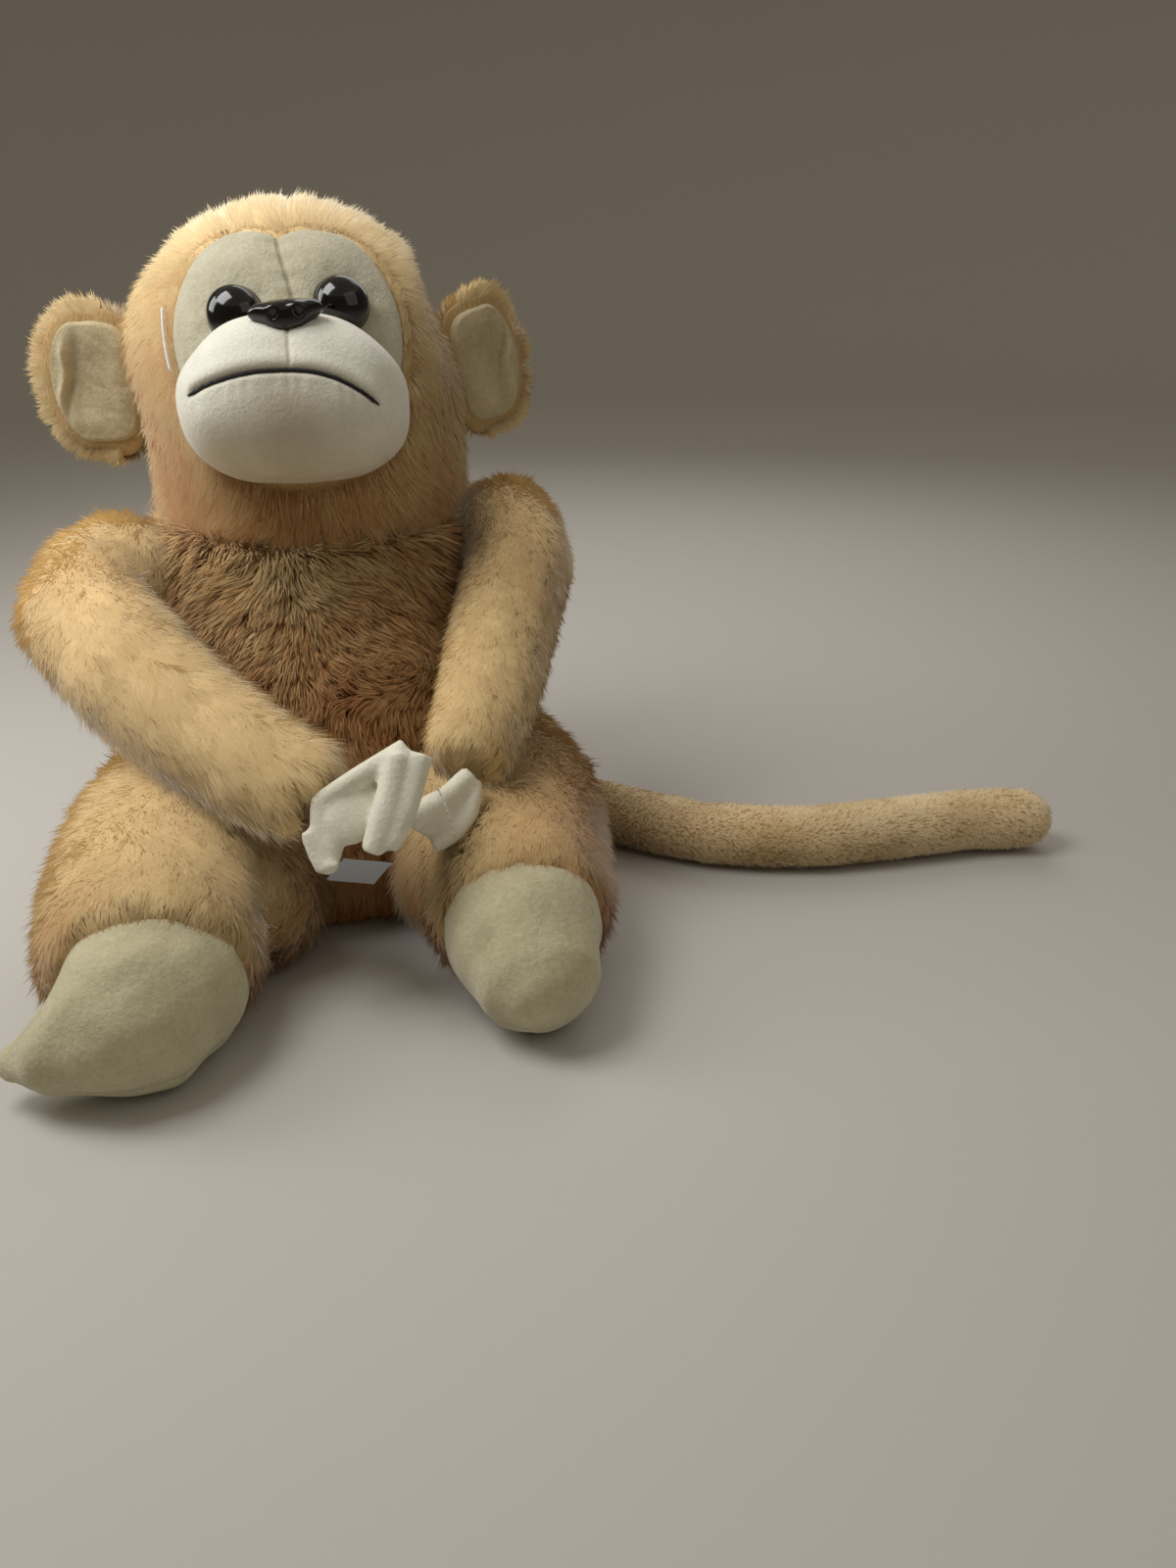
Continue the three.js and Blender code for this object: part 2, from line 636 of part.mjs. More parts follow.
function buildLegs() {
  for (const [side, sign] of sides) {
    const { path, radii, foot } = legs[side];
    const points = toVectors(path);
    const ankle = points[points.length - 1];
    const out = ankle.clone().sub(points[points.length - 2]).normalize();
    const cut = halfSpace(ankle, out);
    const outer = limb(points, radii, { sides: 18 }).intersect(floor).subtract(cut);
    const raised = halfSpace(new THREE.Vector3(0, 0, cloth), new THREE.Vector3(0, 0, 1));
    const inner = limb(points, radii, { sides: 12, steps: 5, shrink: cloth, extend: 4 })
      .intersect(raised);
    const open = halfSpace(points[0].clone().addScaledVector(new THREE.Vector3(-sign, 0.6, 0), 16),
      new THREE.Vector3(-sign, 0.6, 0));
    add(monkey, `leg_cover_${side}`, outer.subtract(inner).subtract(open), furColour);
    const filled = halfSpace(new THREE.Vector3(0, 0, cloth + gap), new THREE.Vector3(0, 0, 1));
    const fill = limb(points, radii, { sides: 12, steps: 5, shrink: cloth + fillGap }).intersect(filled)
      .subtract(halfSpace(ankle.clone().addScaledVector(out, -1), out));
    add(monkey, `leg_stuffing_${side}`, fill, fillColour);
    const shoe = limb(toVectors(foot.path), foot.radii, { sides: 16 }).intersect(floor)
      .subtract(limb(points, radii, { sides: 18, shrink: -gap }).subtract(
        halfSpace(ankle.clone().addScaledVector(out, gap), out)));
    const sole = halfSpace(new THREE.Vector3(0, 0, soleHeight), new THREE.Vector3(0, 0, -1));
    const upper = halfSpace(new THREE.Vector3(0, 0, soleHeight + gap),
      new THREE.Vector3(0, 0, 1));
    add(monkey, `foot_upper_${side}`, shoe.intersect(upper), creamColour);
    add(monkey, `foot_sole_${side}`, shoe.intersect(sole), creamColour);
  }
}

// ---- Tail ---------------------------------------------------------------------------------

const tailBase = [[34, 46, 16], [62, 40, 13], [86, 22, 12], [106, 2, 12], [128, -16, 12]];
const tailEnd = [[128, -16, 12], [158, -28, 12], [194, -31, 12], [230, -32, 12], [246, -36, 12]];

function buildTail() {
  const bend = new THREE.Vector3(...tailBase[tailBase.length - 1]);
  const build = (rows, name, cutter) => {
    const points = toVectors(rows);
    const radii = rows.map(() => tailRadius);
    const openAt = points[0];
    const inward = openAt.clone().sub(points[1]).normalize();
    const open = halfSpace(openAt.clone().addScaledVector(inward, tailRadius * 0.5), inward);
    let outer = limb(points, radii, { sides: 12 });
    let fill = limb(points, radii, { sides: 8, shrink: cloth + fillGap });
    const inner = limb(points, radii, { sides: 8, shrink: cloth });
    if (cutter) {
      outer = outer.subtract(cutter);
      fill = fill.subtract(cutter);
    }
    add(monkey, `tail_cover_${name}`, outer.subtract(inner).subtract(open), paleFurColour);
    add(monkey, `tail_stuffing_${name}`, fill, fillColour);
  };
  const along = new THREE.Vector3(...tailEnd[1]).sub(bend).normalize();
  const beyond = halfSpace(bend.clone().addScaledVector(along, -2), along);
  build(tailBase, 'base', ball(bend, tailRadius + jointGap, 18, 12).add(beyond));
  build(tailEnd, 'end', null);
}

// ---- Small trim ---------------------------------------------------------------------------

const label = { size: [15, 0.8, 17], at: [4, -58, 41], lean: 38, turn: -12 };
const filament = { radius: 0.45, lift: 1.04, path: [[-37, -4], [-38, 2], [-38, 10]] };
const looseThread = { radius: 0.35, path: [[26, -78.5, 71], [27.5, -82.5, 66], [29, -84, 60]] };

function buildTrim() {
  const ribbon = new THREE.BoxGeometry(...label.size);
  ribbon.rotateX(THREE.MathUtils.degToRad(label.lean));
  ribbon.rotateZ(THREE.MathUtils.degToRad(label.turn));
  ribbon.translate(...label.at);
  add(monkey, 'blank_label', toSolid(ribbon), ribbonColour, 0.6);
  const besideFace = filament.path.map(([x, z]) => onHead(x, z).multiplyScalar(filament.lift));
  add(head, 'tag_filament', threadAlong(besideFace, filament.radius, 6), whiteColour, 0.3);
  add(monkey, 'loose_thread', threadAlong(toVectors(looseThread.path), looseThread.radius, 6),
    whiteColour, 0.8);
}

buildTorso();
buildNeck();
buildHead();
buildEars();
buildArms();
buildLegs();
buildTail();
buildTrim();

export default monkey;
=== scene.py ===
import bpy, bmesh, math
import numpy as np
from mathutils import Matrix, Vector
from mathutils.bvhtree import BVHTree
from mathutils.geometry import interpolate_bezier
from mathutils.kdtree import KDTree


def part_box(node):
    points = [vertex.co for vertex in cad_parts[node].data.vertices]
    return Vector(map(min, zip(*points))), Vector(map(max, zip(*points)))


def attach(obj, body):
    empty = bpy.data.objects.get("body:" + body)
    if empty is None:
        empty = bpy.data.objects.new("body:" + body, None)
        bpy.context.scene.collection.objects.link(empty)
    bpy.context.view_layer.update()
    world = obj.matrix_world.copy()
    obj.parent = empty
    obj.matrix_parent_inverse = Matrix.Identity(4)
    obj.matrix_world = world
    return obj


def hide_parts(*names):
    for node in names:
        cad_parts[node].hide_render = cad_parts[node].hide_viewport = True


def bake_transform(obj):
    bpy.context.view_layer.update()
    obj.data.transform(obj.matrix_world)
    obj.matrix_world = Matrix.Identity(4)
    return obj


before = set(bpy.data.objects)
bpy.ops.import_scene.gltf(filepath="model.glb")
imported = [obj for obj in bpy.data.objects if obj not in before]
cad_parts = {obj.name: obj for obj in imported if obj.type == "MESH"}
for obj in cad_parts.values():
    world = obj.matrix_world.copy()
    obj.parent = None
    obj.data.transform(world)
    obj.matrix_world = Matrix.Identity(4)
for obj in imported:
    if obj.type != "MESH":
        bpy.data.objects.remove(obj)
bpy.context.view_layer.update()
scene = bpy.context.scene
mm = 0.001
print("frame loaded:", len(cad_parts), "nodes")

# the head's own frame: origin at the middle of the skull, face towards -Y
headFrame = {"centre": (2, 58, 171), "pitch": -20, "roll": 1, "turn": -3}
headMatrix = (Matrix.Translation(headFrame["centre"])
              @ Matrix.Rotation(math.radians(headFrame["pitch"]), 4, "X")
              @ Matrix.Rotation(math.radians(headFrame["roll"]), 4, "Y")
              @ Matrix.Rotation(math.radians(headFrame["turn"]), 4, "Z"))


studio = {
    "cameraAt": (-2, -385, 214), "pitch": 25, "yaw": 13.1, "roll": 1.0, "lens": 27.07, "sensor": 36,
    "floorHex": "c4c1bb", "floorRough": 0.9, "airHex": "fff1dc", "air": 0.32,
    "wallReach": 2200, "wallBend": 700, "wallHigh": 1900, "wallSteps": 64, "bendSteps": 12,
    "lightsAim": (0, 20, 90),
    "lights": {
        "keyLight": {"at": (-205, -35, 510), "power": 1.3, "size": 240},
        "fillLight": {"at": (420, -420, 480), "power": 0.35, "size": 500},
        "sideLight": {"at": (-440, 130, 400), "power": 0.95, "size": 260},
        "backLight": {"at": (260, 480, 520), "power": 1.0, "size": 500},
    },
}


def paint(hexColour):
    # a screen colour in hex as the linear colour that the shaders take
    parts = [int(hexColour[i:i + 2], 16) / 255 for i in (0, 2, 4)]
    return tuple(c / 12.92 if c <= 0.04045 else ((c + 0.055) / 1.055) ** 2.4 for c in parts) + (1,)


def buildCamera():
    pitch, yaw, roll = (math.radians(studio[k]) for k in ("pitch", "yaw", "roll"))
    level = Vector((math.cos(yaw), -math.sin(yaw), 0))
    ahead = Vector((math.sin(yaw), math.cos(yaw), 0))
    up = Vector((0, 0, 1))
    forward = ahead * math.cos(pitch) - up * math.sin(pitch)
    top = ahead * math.sin(pitch) + up * math.cos(pitch)
    right = level * math.cos(roll) - top * math.sin(roll)
    top = top * math.cos(roll) + level * math.sin(roll)
    data = bpy.data.cameras.new("camera")
    data.lens = studio["lens"]
    data.sensor_width = studio["sensor"]
    camera = bpy.data.objects.new("camera", data)
    turn = Matrix((right, top, -forward)).transposed().to_4x4()
    camera.matrix_world = Matrix.Translation(Vector(studio["cameraAt"]) * mm) @ turn
    scene.collection.objects.link(camera)
    scene.camera = camera


def areaLight(name, at, power, size):
    data = bpy.data.lights.new(name, "AREA")
    data.energy = power
    data.size = size * mm
    light = bpy.data.objects.new(name, data)
    light.location = Vector(at) * mm
    aim = (Vector(studio["lightsAim"]) - Vector(at)) * mm
    light.rotation_euler = aim.to_track_quat("-Z", "Y").to_euler()
    light.visible_camera = False
    scene.collection.objects.link(light)


def buildStudio():
    for name, light in studio["lights"].items():
        areaLight(name, **light)
    world = bpy.data.worlds.new("air")
    world.use_nodes = True
    sky = world.node_tree.nodes["Background"]
    sky.inputs["Color"].default_value = paint(studio["airHex"])
    sky.inputs["Strength"].default_value = studio["air"]
    scene.world = world
    scene.view_settings.view_transform = "Standard"
    # a round room: flat floor, a wide bend and a low wall, open above
    reach, bend, high = (studio[k] * mm for k in ("wallReach", "wallBend", "wallHigh"))
    profile = [(0, 0)]
    profile += [(reach - bend + bend * math.sin(a), bend - bend * math.cos(a))
                for a in np.linspace(0, math.pi / 2, studio["bendSteps"])]
    profile.append((reach, high))
    bm = bmesh.new()
    knots = [bm.verts.new((x, 0, z)) for x, z in profile]
    edges = [bm.edges.new(pair) for pair in zip(knots, knots[1:])]
    bmesh.ops.spin(bm, geom=knots + edges, cent=(0, 0, 0), axis=(0, 0, 1),
                   angle=math.tau, steps=studio["wallSteps"], use_merge=True)
    bmesh.ops.remove_doubles(bm, verts=bm.verts, dist=1e-5)
    mesh = bpy.data.meshes.new("floor")
    bm.to_mesh(mesh)
    bm.free()
    mesh.shade_smooth()
    ground = bpy.data.objects.new("floor", mesh)
    finish = Finish("floorPaint", studio["floorHex"], studio["floorRough"])
    mesh.materials.append(finish.material)
    scene.collection.objects.link(ground)


class Wire:
    # a socket that does arithmetic: an expression adds its Math nodes
    def __init__(self, tree, socket):
        self.tree = tree
        self.socket = socket

    def math(self, operation, first, second):
        node = self.tree.nodes.new("ShaderNodeMath")
        node.operation = operation
        for slot, value in zip(node.inputs, (first, second)):
            if isinstance(value, Wire):
                self.tree.links.new(value.socket, slot)
            else:
                slot.default_value = value
        return Wire(self.tree, node.outputs[0])

    def __add__(self, other):
        return self.math("ADD", self, other)

    def __radd__(self, other):
        return self.math("ADD", other, self)

    def __sub__(self, other):
        return self.math("SUBTRACT", self, other)

    def __rsub__(self, other):
        return self.math("SUBTRACT", other, self)

    def __mul__(self, other):
        return self.math("MULTIPLY", self, other)

    def __rmul__(self, other):
        return self.math("MULTIPLY", other, self)


class Finish:
    def __init__(self, name, hexColour, roughness=0.8, **constants):
        self.material = bpy.data.materials.new(name)
        self.material.use_nodes = True
        self.tree = self.material.node_tree
        self.shader = self.tree.nodes["Principled BSDF"]
        self.shader.inputs["Base Color"].default_value = paint(hexColour)
        self.shader.inputs["Roughness"].default_value = roughness
        for socket, value in constants.items():
            self.shader.inputs[socket.replace("_", " ")].default_value = value
        self.material.diffuse_color = paint(hexColour)

    def node(self, kind, settings=None, **sockets):
        made = self.tree.nodes.new("ShaderNode" + kind)
        for key, value in (settings or {}).items():
            if key == "stops":
                ramp = made.color_ramp
                while len(ramp.elements) < len(value):
                    ramp.elements.new(0.5)
                for element, (place, colour) in zip(ramp.elements, value):
                    element.position = place
                    element.color = colour
            else:
                setattr(made, key, value)
        for key, value in sockets.items():
            name = key.replace("_", " ")
            slot = made.inputs[int(name[1:])] if name[1:].isdigit() else made.inputs[name]
            if isinstance(value, Wire):
                self.tree.links.new(value.socket, slot)
            else:
                slot.default_value = value
        return made

    def wire(self, node, output=0):
        return Wire(self.tree, node.outputs[output])

    def feed(self, socket, wire):
        self.tree.links.new(wire.socket, self.shader.inputs[socket])

    def place(self):
        return self.wire(self.node("TexCoord"), 3)

    def noise(self, size, detail=2.0, rough=0.5, stretch=None):
        # size is the grain's width in millimetres
        place = self.place()
        if stretch:
            place = self.wire(self.node("Mapping", None, Vector=place, Scale=stretch))
        return self.wire(self.node("TexNoise", None, Vector=place, Scale=1000 / size,
                                   Detail=detail, Roughness=rough))

    def mix(self, amount, first, second):
        node = self.node("Mix", {"data_type": "RGBA"}, i0=amount, i6=first, i7=second)
        return self.wire(node, 2)

    def attribute(self, name):
        return self.wire(self.node("Attribute", {"attribute_name": name}), 2)

    def bump(self, height, depth, strength=1.0):
        node = self.node("Bump", None, Height=height, Distance=depth * mm, Strength=strength)
        self.feed("Normal", self.wire(node))


def pileFinish(name, light, dark, grain=1.3, depth=0.5, shadeHex=None, sheen=0.35, mottle=9.0):
    # short brushed pile: soft mottling, a fine nap, and painted shade in the seams, creases and
    # hollows that the piece marks
    made = Finish(name, light, 0.92, Sheen_Weight=sheen, Sheen_Roughness=0.45,
                  Specular_IOR_Level=0.2)
    broad = made.noise(mottle, 2)
    fine = made.noise(grain, 4, 0.65)
    nap = made.noise(grain * 0.38, 2, 0.6)
    shade = (broad - 0.5) * 1.2 + (fine - 0.5) * 1.5 + 0.5
    shade = made.wire(made.node("Clamp", None, Value=shade))
    colour = made.mix(shade, paint(dark), paint(light))
    # painted shade: the cloth darkens towards the shade colour along seams, creases and hollows
    if shadeHex:
        colour = made.mix(made.attribute("seam"), colour, paint(shadeHex))
    made.feed("Base Color", colour)
    made.feed("Roughness", 0.84 + fine * 0.14)
    made.bump(fine * 0.7 + nap * 0.3, depth)
    return made.material


def hairFinish(name, colour):
    # one shade of hair, its colour already linear
    made = Finish(name, "ffffff", 0.8, Sheen_Weight=0.3, Sheen_Roughness=0.5,
                  Specular_IOR_Level=0.15)
    made.shader.inputs["Base Color"].default_value = (*colour, 1)
    made.material.diffuse_color = (*colour, 1)
    return made.material


def backingFinish(name, light, dark):
    # knitted backing and roots of the fur, seen only where the fur parts
    made = Finish(name, light, 0.95, Sheen_Weight=0.2, Specular_IOR_Level=0.1)
    grain = made.noise(0.9, 3, stretch=(1, 1, 0.3))
    made.feed("Base Color", made.mix(grain, paint(dark), paint(light)))
    made.feed("Roughness", 0.88 + grain * 0.1)
    made.bump(grain, 0.6)
    return made.material


def glossFinish(name, hexColour):
    # moulded plastic with a clear skin, very slightly wavy
    made = Finish(name, hexColour, 0.12, Coat_Weight=0.35, Coat_Roughness=0.03,
                  Specular_IOR_Level=0.45)
    haze = made.noise(2.5, 3)
    made.feed("Roughness", 0.07 + haze * 0.12)
    made.bump(made.noise(6, 1), 0.05)
    return made.material


def mouldedFinish(name, light, dark, roughness=0.45):
    made = Finish(name, light, roughness)
    grain = made.noise(0.6, 3)
    made.feed("Base Color", made.mix(grain, paint(dark), paint(light)))
    made.feed("Roughness", roughness - 0.08 + grain * 0.16)
    made.bump(grain, 0.08)
    return made.material


def twistFinish(name, light, dark, pitch=0.7):
    # twisted thread: fine slanting bands
    made = Finish(name, light, 0.75, Sheen_Weight=0.15)
    bands = made.wire(made.node("TexWave", {"wave_type": "BANDS", "bands_direction": "DIAGONAL"},
                                Vector=made.place(), Scale=1000 / pitch / 6.283, Distortion=1.5), 1)
    made.feed("Base Color", made.mix(bands, paint(dark), paint(light)))
    made.feed("Roughness", 0.65 + bands * 0.2)
    made.bump(bands, 0.15)
    return made.material


def ribbonFinish(name, light, dark):
    # thin woven satin: two crossing sets of bands
    made = Finish(name, light, 0.5, Sheen_Weight=0.2)
    place = made.place()
    warp = made.wire(made.node("TexWave", {"bands_direction": "X"}, Vector=place, Scale=420.0), 1)
    weft = made.wire(made.node("TexWave", {"bands_direction": "Z"}, Vector=place, Scale=420.0), 1)
    weave = warp * weft
    made.feed("Base Color", made.mix(weave, paint(dark), paint(light)))
    made.feed("Roughness", 0.42 + weave * 0.2)
    made.bump(weave, 0.06)
    return made.material


def newPiece(name, mesh, material=None):
    piece = bpy.data.objects.new(name, mesh)
    mesh.name = name
    scene.collection.objects.link(piece)
    if material:
        mesh.materials.clear()
        mesh.materials.append(material)
    mesh.shade_smooth()
    return piece


def meshOf(bm):
    mesh = bpy.data.meshes.new("draft")
    bm.to_mesh(mesh)
    bm.free()
    return mesh


def applied(piece):
    # the piece's mesh with its modifiers worked in
    bpy.context.view_layer.update()
    evaluated = piece.evaluated_get(bpy.context.evaluated_depsgraph_get())
    mesh = bpy.data.meshes.new_from_object(evaluated)
    old = piece.data
    piece.modifiers.clear()
    piece.data = mesh
    mesh.name = piece.name
    if old.users == 0:
        bpy.data.meshes.remove(old)
    return piece


def coordsOf(mesh):
    flat = np.zeros(len(mesh.vertices) * 3, np.float32)
    mesh.vertices.foreach_get("co", flat)
    return flat.reshape(-1, 3).astype(float)


def normalsOf(mesh):
    flat = np.zeros(len(mesh.vertices) * 3, np.float32)
    mesh.vertices.foreach_get("normal", flat)
    return flat.reshape(-1, 3).astype(float)


def moveTo(mesh, coords):
    mesh.vertices.foreach_set("co", coords.astype(np.float32).ravel())
    mesh.update()


# how much painted shade each point takes, in seams, creases and hollows
def paintSeamShade(mesh, values):
    layer = mesh.attributes.get("seam") or mesh.attributes.new("seam", "FLOAT", "POINT")
    layer.data.foreach_set("value", np.clip(values, 0, 1).astype(np.float32))


def biggestPart(mesh):
    # the fused mesh without the bubbles left inside it
    bm = bmesh.new()
    bm.from_mesh(mesh)
    left = set(bm.verts)
    best = set()
    while left:
        seed = left.pop()
        part, edge = {seed}, [seed]
        while edge:
            for e in edge.pop().link_edges:
                for v in e.verts:
                    if v in left:
                        left.discard(v)
                        part.add(v)
                        edge.append(v)
        if len(part) > len(best):
            best = part
    bmesh.ops.delete(bm, geom=[v for v in bm.verts if v not in best], context="VERTS")
    bm.to_mesh(mesh)
    bm.free()


stuffing = {"pressure": 4.0, "frames": 20, "quality": 4, "mass": 0.3}


def fuse(name, meshes, voxel, smoothing=4):
    # several closed shapes melted into one skin of even faces
    bm = bmesh.new()
    for mesh in meshes:
        bm.from_mesh(mesh)
    bmesh.ops.remove_doubles(bm, verts=bm.verts, dist=1e-6)
    piece = newPiece(name, meshOf(bm))
    melt = piece.modifiers.new("melt", "REMESH")
    melt.mode = "VOXEL"
    melt.voxel_size = voxel * mm
    applied(piece)
    biggestPart(piece.data)
    soften = piece.modifiers.new("soften", "SMOOTH")
    soften.factor = 0.5
    soften.iterations = smoothing
    return applied(piece)


def puff(piece, cap):
    # the stuffing pushes the cover out: a cloth run with pressure, each point held to the cap
    before = coordsOf(piece.data)
    cloth = piece.modifiers.new("cover", "CLOTH")
    cloth.settings.quality = stuffing["quality"]
    cloth.settings.mass = stuffing["mass"]
    cloth.settings.use_pressure = True
    cloth.settings.uniform_pressure_force = stuffing["pressure"]
    cloth.settings.effector_weights.gravity = 0
    cloth.point_cache.frame_start = 1
    cloth.point_cache.frame_end = stuffing["frames"]
    for frameNumber in range(1, stuffing["frames"] + 1):
        scene.frame_set(frameNumber)
    bpy.context.view_layer.update()
    result = piece.evaluated_get(bpy.context.evaluated_depsgraph_get())
    after = coordsOf(result.data)
    piece.modifiers.clear()
    scene.frame_set(1)
    step = after - before
    reach = np.linalg.norm(step, axis=1, keepdims=True)
    step *= np.minimum(1, cap * mm / np.maximum(reach, 1e-9))
    moveTo(piece.data, before + step)


def finer(piece):
    more = piece.modifiers.new("finer", "SUBSURF")
    more.levels = more.render_levels = 1
    applied(piece)
    piece.data.shade_smooth()


def turnOut(piece):
    # faces outwards, by the volume that they hold
    bm = bmesh.new()
    bm.from_mesh(piece.data)
    if bm.calc_volume(signed=True) < 0:
        bmesh.ops.reverse_faces(bm, faces=bm.faces)
    bm.to_mesh(piece.data)
    bm.free()


def thicken(piece, thickness, offset=-1):
    # a thin sheet given a wall, its thickness in millimetres
    wall = piece.modifiers.new("wall", "SOLIDIFY")
    wall.thickness = thickness * mm
    wall.offset = offset
    applied(piece)
    turnOut(piece)


def discDraft(cells):
    # a flat round sheet of even cells, and the two coordinates of its points on a unit disc
    bm = bmesh.new()
    bmesh.ops.create_grid(bm, x_segments=cells, y_segments=cells, size=1)
    mesh = meshOf(bm)
    flat = coordsOf(mesh)
    u, v = flat[:, 0], flat[:, 1]
    return mesh, u * np.sqrt(1 - v * v / 2), v * np.sqrt(1 - u * u / 2)


def ballDraft(sides, rings):
    # a unit ball with its poles in front and behind, and the way to each of its points
    bm = bmesh.new()
    bmesh.ops.create_uvsphere(bm, u_segments=sides, v_segments=rings, radius=1,
                              matrix=Matrix.Rotation(math.pi / 2, 4, "X"))
    mesh = meshOf(bm)
    return mesh, unit(coordsOf(mesh))


def tubeMesh(points, radii, sides=8):
    # a round tube through the points, given in millimetres
    curve = bpy.data.curves.new("tube", "CURVE")
    curve.dimensions = "3D"
    curve.bevel_depth = mm
    curve.bevel_resolution = max(0, sides // 4)
    curve.use_fill_caps = True
    line = curve.splines.new("NURBS")
    line.points.add(len(points) - 1)
    for knot, point, radius in zip(line.points, points, radii):
        knot.co = (*[c * mm for c in point], 1)
        knot.radius = radius
    line.use_endpoint_u = True
    line.order_u = min(4, len(points))
    line.resolution_u = 6
    holder = bpy.data.objects.new("tube", curve)
    scene.collection.objects.link(holder)
    bpy.context.view_layer.update()
    mesh = bpy.data.meshes.new_from_object(
        holder.evaluated_get(bpy.context.evaluated_depsgraph_get()))
    bpy.data.objects.remove(holder)
    bpy.data.curves.remove(curve)
    bm = bmesh.new()
    bm.from_mesh(mesh)
    bmesh.ops.remove_doubles(bm, verts=bm.verts, dist=1e-7)
    bmesh.ops.recalc_face_normals(bm, faces=bm.faces)
    bm.to_mesh(mesh)
    bm.free()
    return mesh


def ballMesh(centre, radii, turn=(0, 0, 0)):
    # a stretched ball, its sizes in millimetres and its turn in degrees about X, Y and Z
    spin = Matrix.Identity(4)
    for angle, axis in zip(turn, "XYZ"):
        spin = spin @ Matrix.Rotation(math.radians(angle), 4, axis)
    bm = bmesh.new()
    place = (Matrix.Scale(mm, 4) @ Matrix.Translation(centre) @ spin
             @ Matrix.Diagonal((*radii, 1)))
    bmesh.ops.create_uvsphere(bm, u_segments=32, v_segments=20, radius=1, matrix=place)
    return meshOf(bm)


def nodeMeshes(*names):
    return [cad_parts[name].data for name in names]


def unit(vectors):
    return vectors / np.maximum(np.linalg.norm(vectors, axis=1, keepdims=True), 1e-9)


def smoothStep(low, high, values):
    t = np.clip((values - low) / (high - low), 0, 1)
    return t * t * (3 - 2 * t)


def drift(points, size, seed):
    # a smooth wandering vector field; size is its wavelength in millimetres
    waves = 7
    rng = np.random.default_rng(seed)
    total = np.zeros_like(points)
    for _ in range(waves):
        slope = rng.normal(size=(3, 3)) * 2.6 / size
        total += np.sin(points @ slope.T + rng.uniform(0, 6.283, 3))
    return total / math.sqrt(waves)


def treeOf(piece):
    bm = bmesh.new()
    bm.from_mesh(piece.data)
    tree = BVHTree.FromBMesh(bm)
    bm.free()
    return tree


def clearOf(piece, others, distance):
    # 1 where the skin is open to the air, 0 where a neighbour covers it
    trees = [treeOf(other) for other in others]
    searchReach = 20 * mm
    found = np.ones(len(piece.data.vertices))
    for i, v in enumerate(piece.data.vertices):
        for tree in trees:
            place, normal, _, gap = tree.find_nearest(v.co, searchReach)
            if place is None:
                continue
            inside = (v.co - place).dot(normal) < 0
            found[i] = min(found[i], 0 if inside or gap < distance * mm else 1)
    return found


def strandTemplate():
    # one strand: a kite of two faces, widest halfway along
    bm = bmesh.new()
    bmesh.ops.create_grid(bm, x_segments=1, y_segments=2, size=0.5)
    for end in (-0.5, 0.5):
        row = [v for v in bm.verts if abs(v.co.y - end) < 0.1]
        bmesh.ops.pointmerge(bm, verts=row, merge_co=Vector((0, end, 0)))
    bmesh.ops.triangulate(bm, faces=bm.faces)
    bm.verts.index_update()
    across = np.array([v.co.x * 2 for v in bm.verts])
    along = np.array([v.co.y + 0.5 for v in bm.verts])
    faces = np.array([[v.index for v in f.verts] for f in bm.faces])
    bm.free()
    return across, along, faces


# what all strands share; a pair is a least value and the most that chance adds to it
strand = {
    "openFrom": 0.55, "riseSpread": 0.10, "lead": 1.5, "pull": (0.6, 0.4), "middleFollows": 0.35,
    "roll": 0.35, "wide": (0.75, 0.5), "ground": 0.3,
}


def rootsOn(skin, perMm2, bare, rng):
    # roots spread evenly over a skin, with its normal and its openness at each
    mesh = skin.data
    mesh.calc_loop_triangles()
    count = len(mesh.loop_triangles)
    corner = np.zeros(count * 3, np.int32)
    mesh.loop_triangles.foreach_get("vertices", corner)
    corner = corner.reshape(-1, 3)
    place, facing = coordsOf(mesh) / mm, normalsOf(mesh)
    a, b, c = (place[corner[:, i]] for i in range(3))
    area = np.linalg.norm(np.cross(b - a, c - a), axis=1) / 2
    wanted = int(area.sum() * perMm2)
    pick = np.sort(rng.choice(count, wanted, p=area / area.sum()))
    u, v = rng.random(wanted), rng.random(wanted)
    flip = u + v > 1
    u[flip], v[flip] = 1 - u[flip], 1 - v[flip]
    w = 1 - u - v

    def blend(values):
        return (values[corner[pick, 0]].T * w + values[corner[pick, 1]].T * u
                + values[corner[pick, 2]].T * v).T
    return blend(place), unit(blend(facing)), blend(bare)


def tuftsOf(root, way, look, rng):
    # the strands that lead a tuft, and the tuft that each strand belongs to
    total = len(root)
    count = max(1, int(total / (look["perMm2"] * look["clumpSize"] ** 2)))
    leaders = rng.choice(total, count, False)
    ahead = root + way * strand["lead"]
    finder = KDTree(count)
    for i, leader in enumerate(leaders):
        finder.insert(ahead[leader], i)
    finder.balance()
    return leaders, np.array([finder.find(p)[1] for p in ahead])


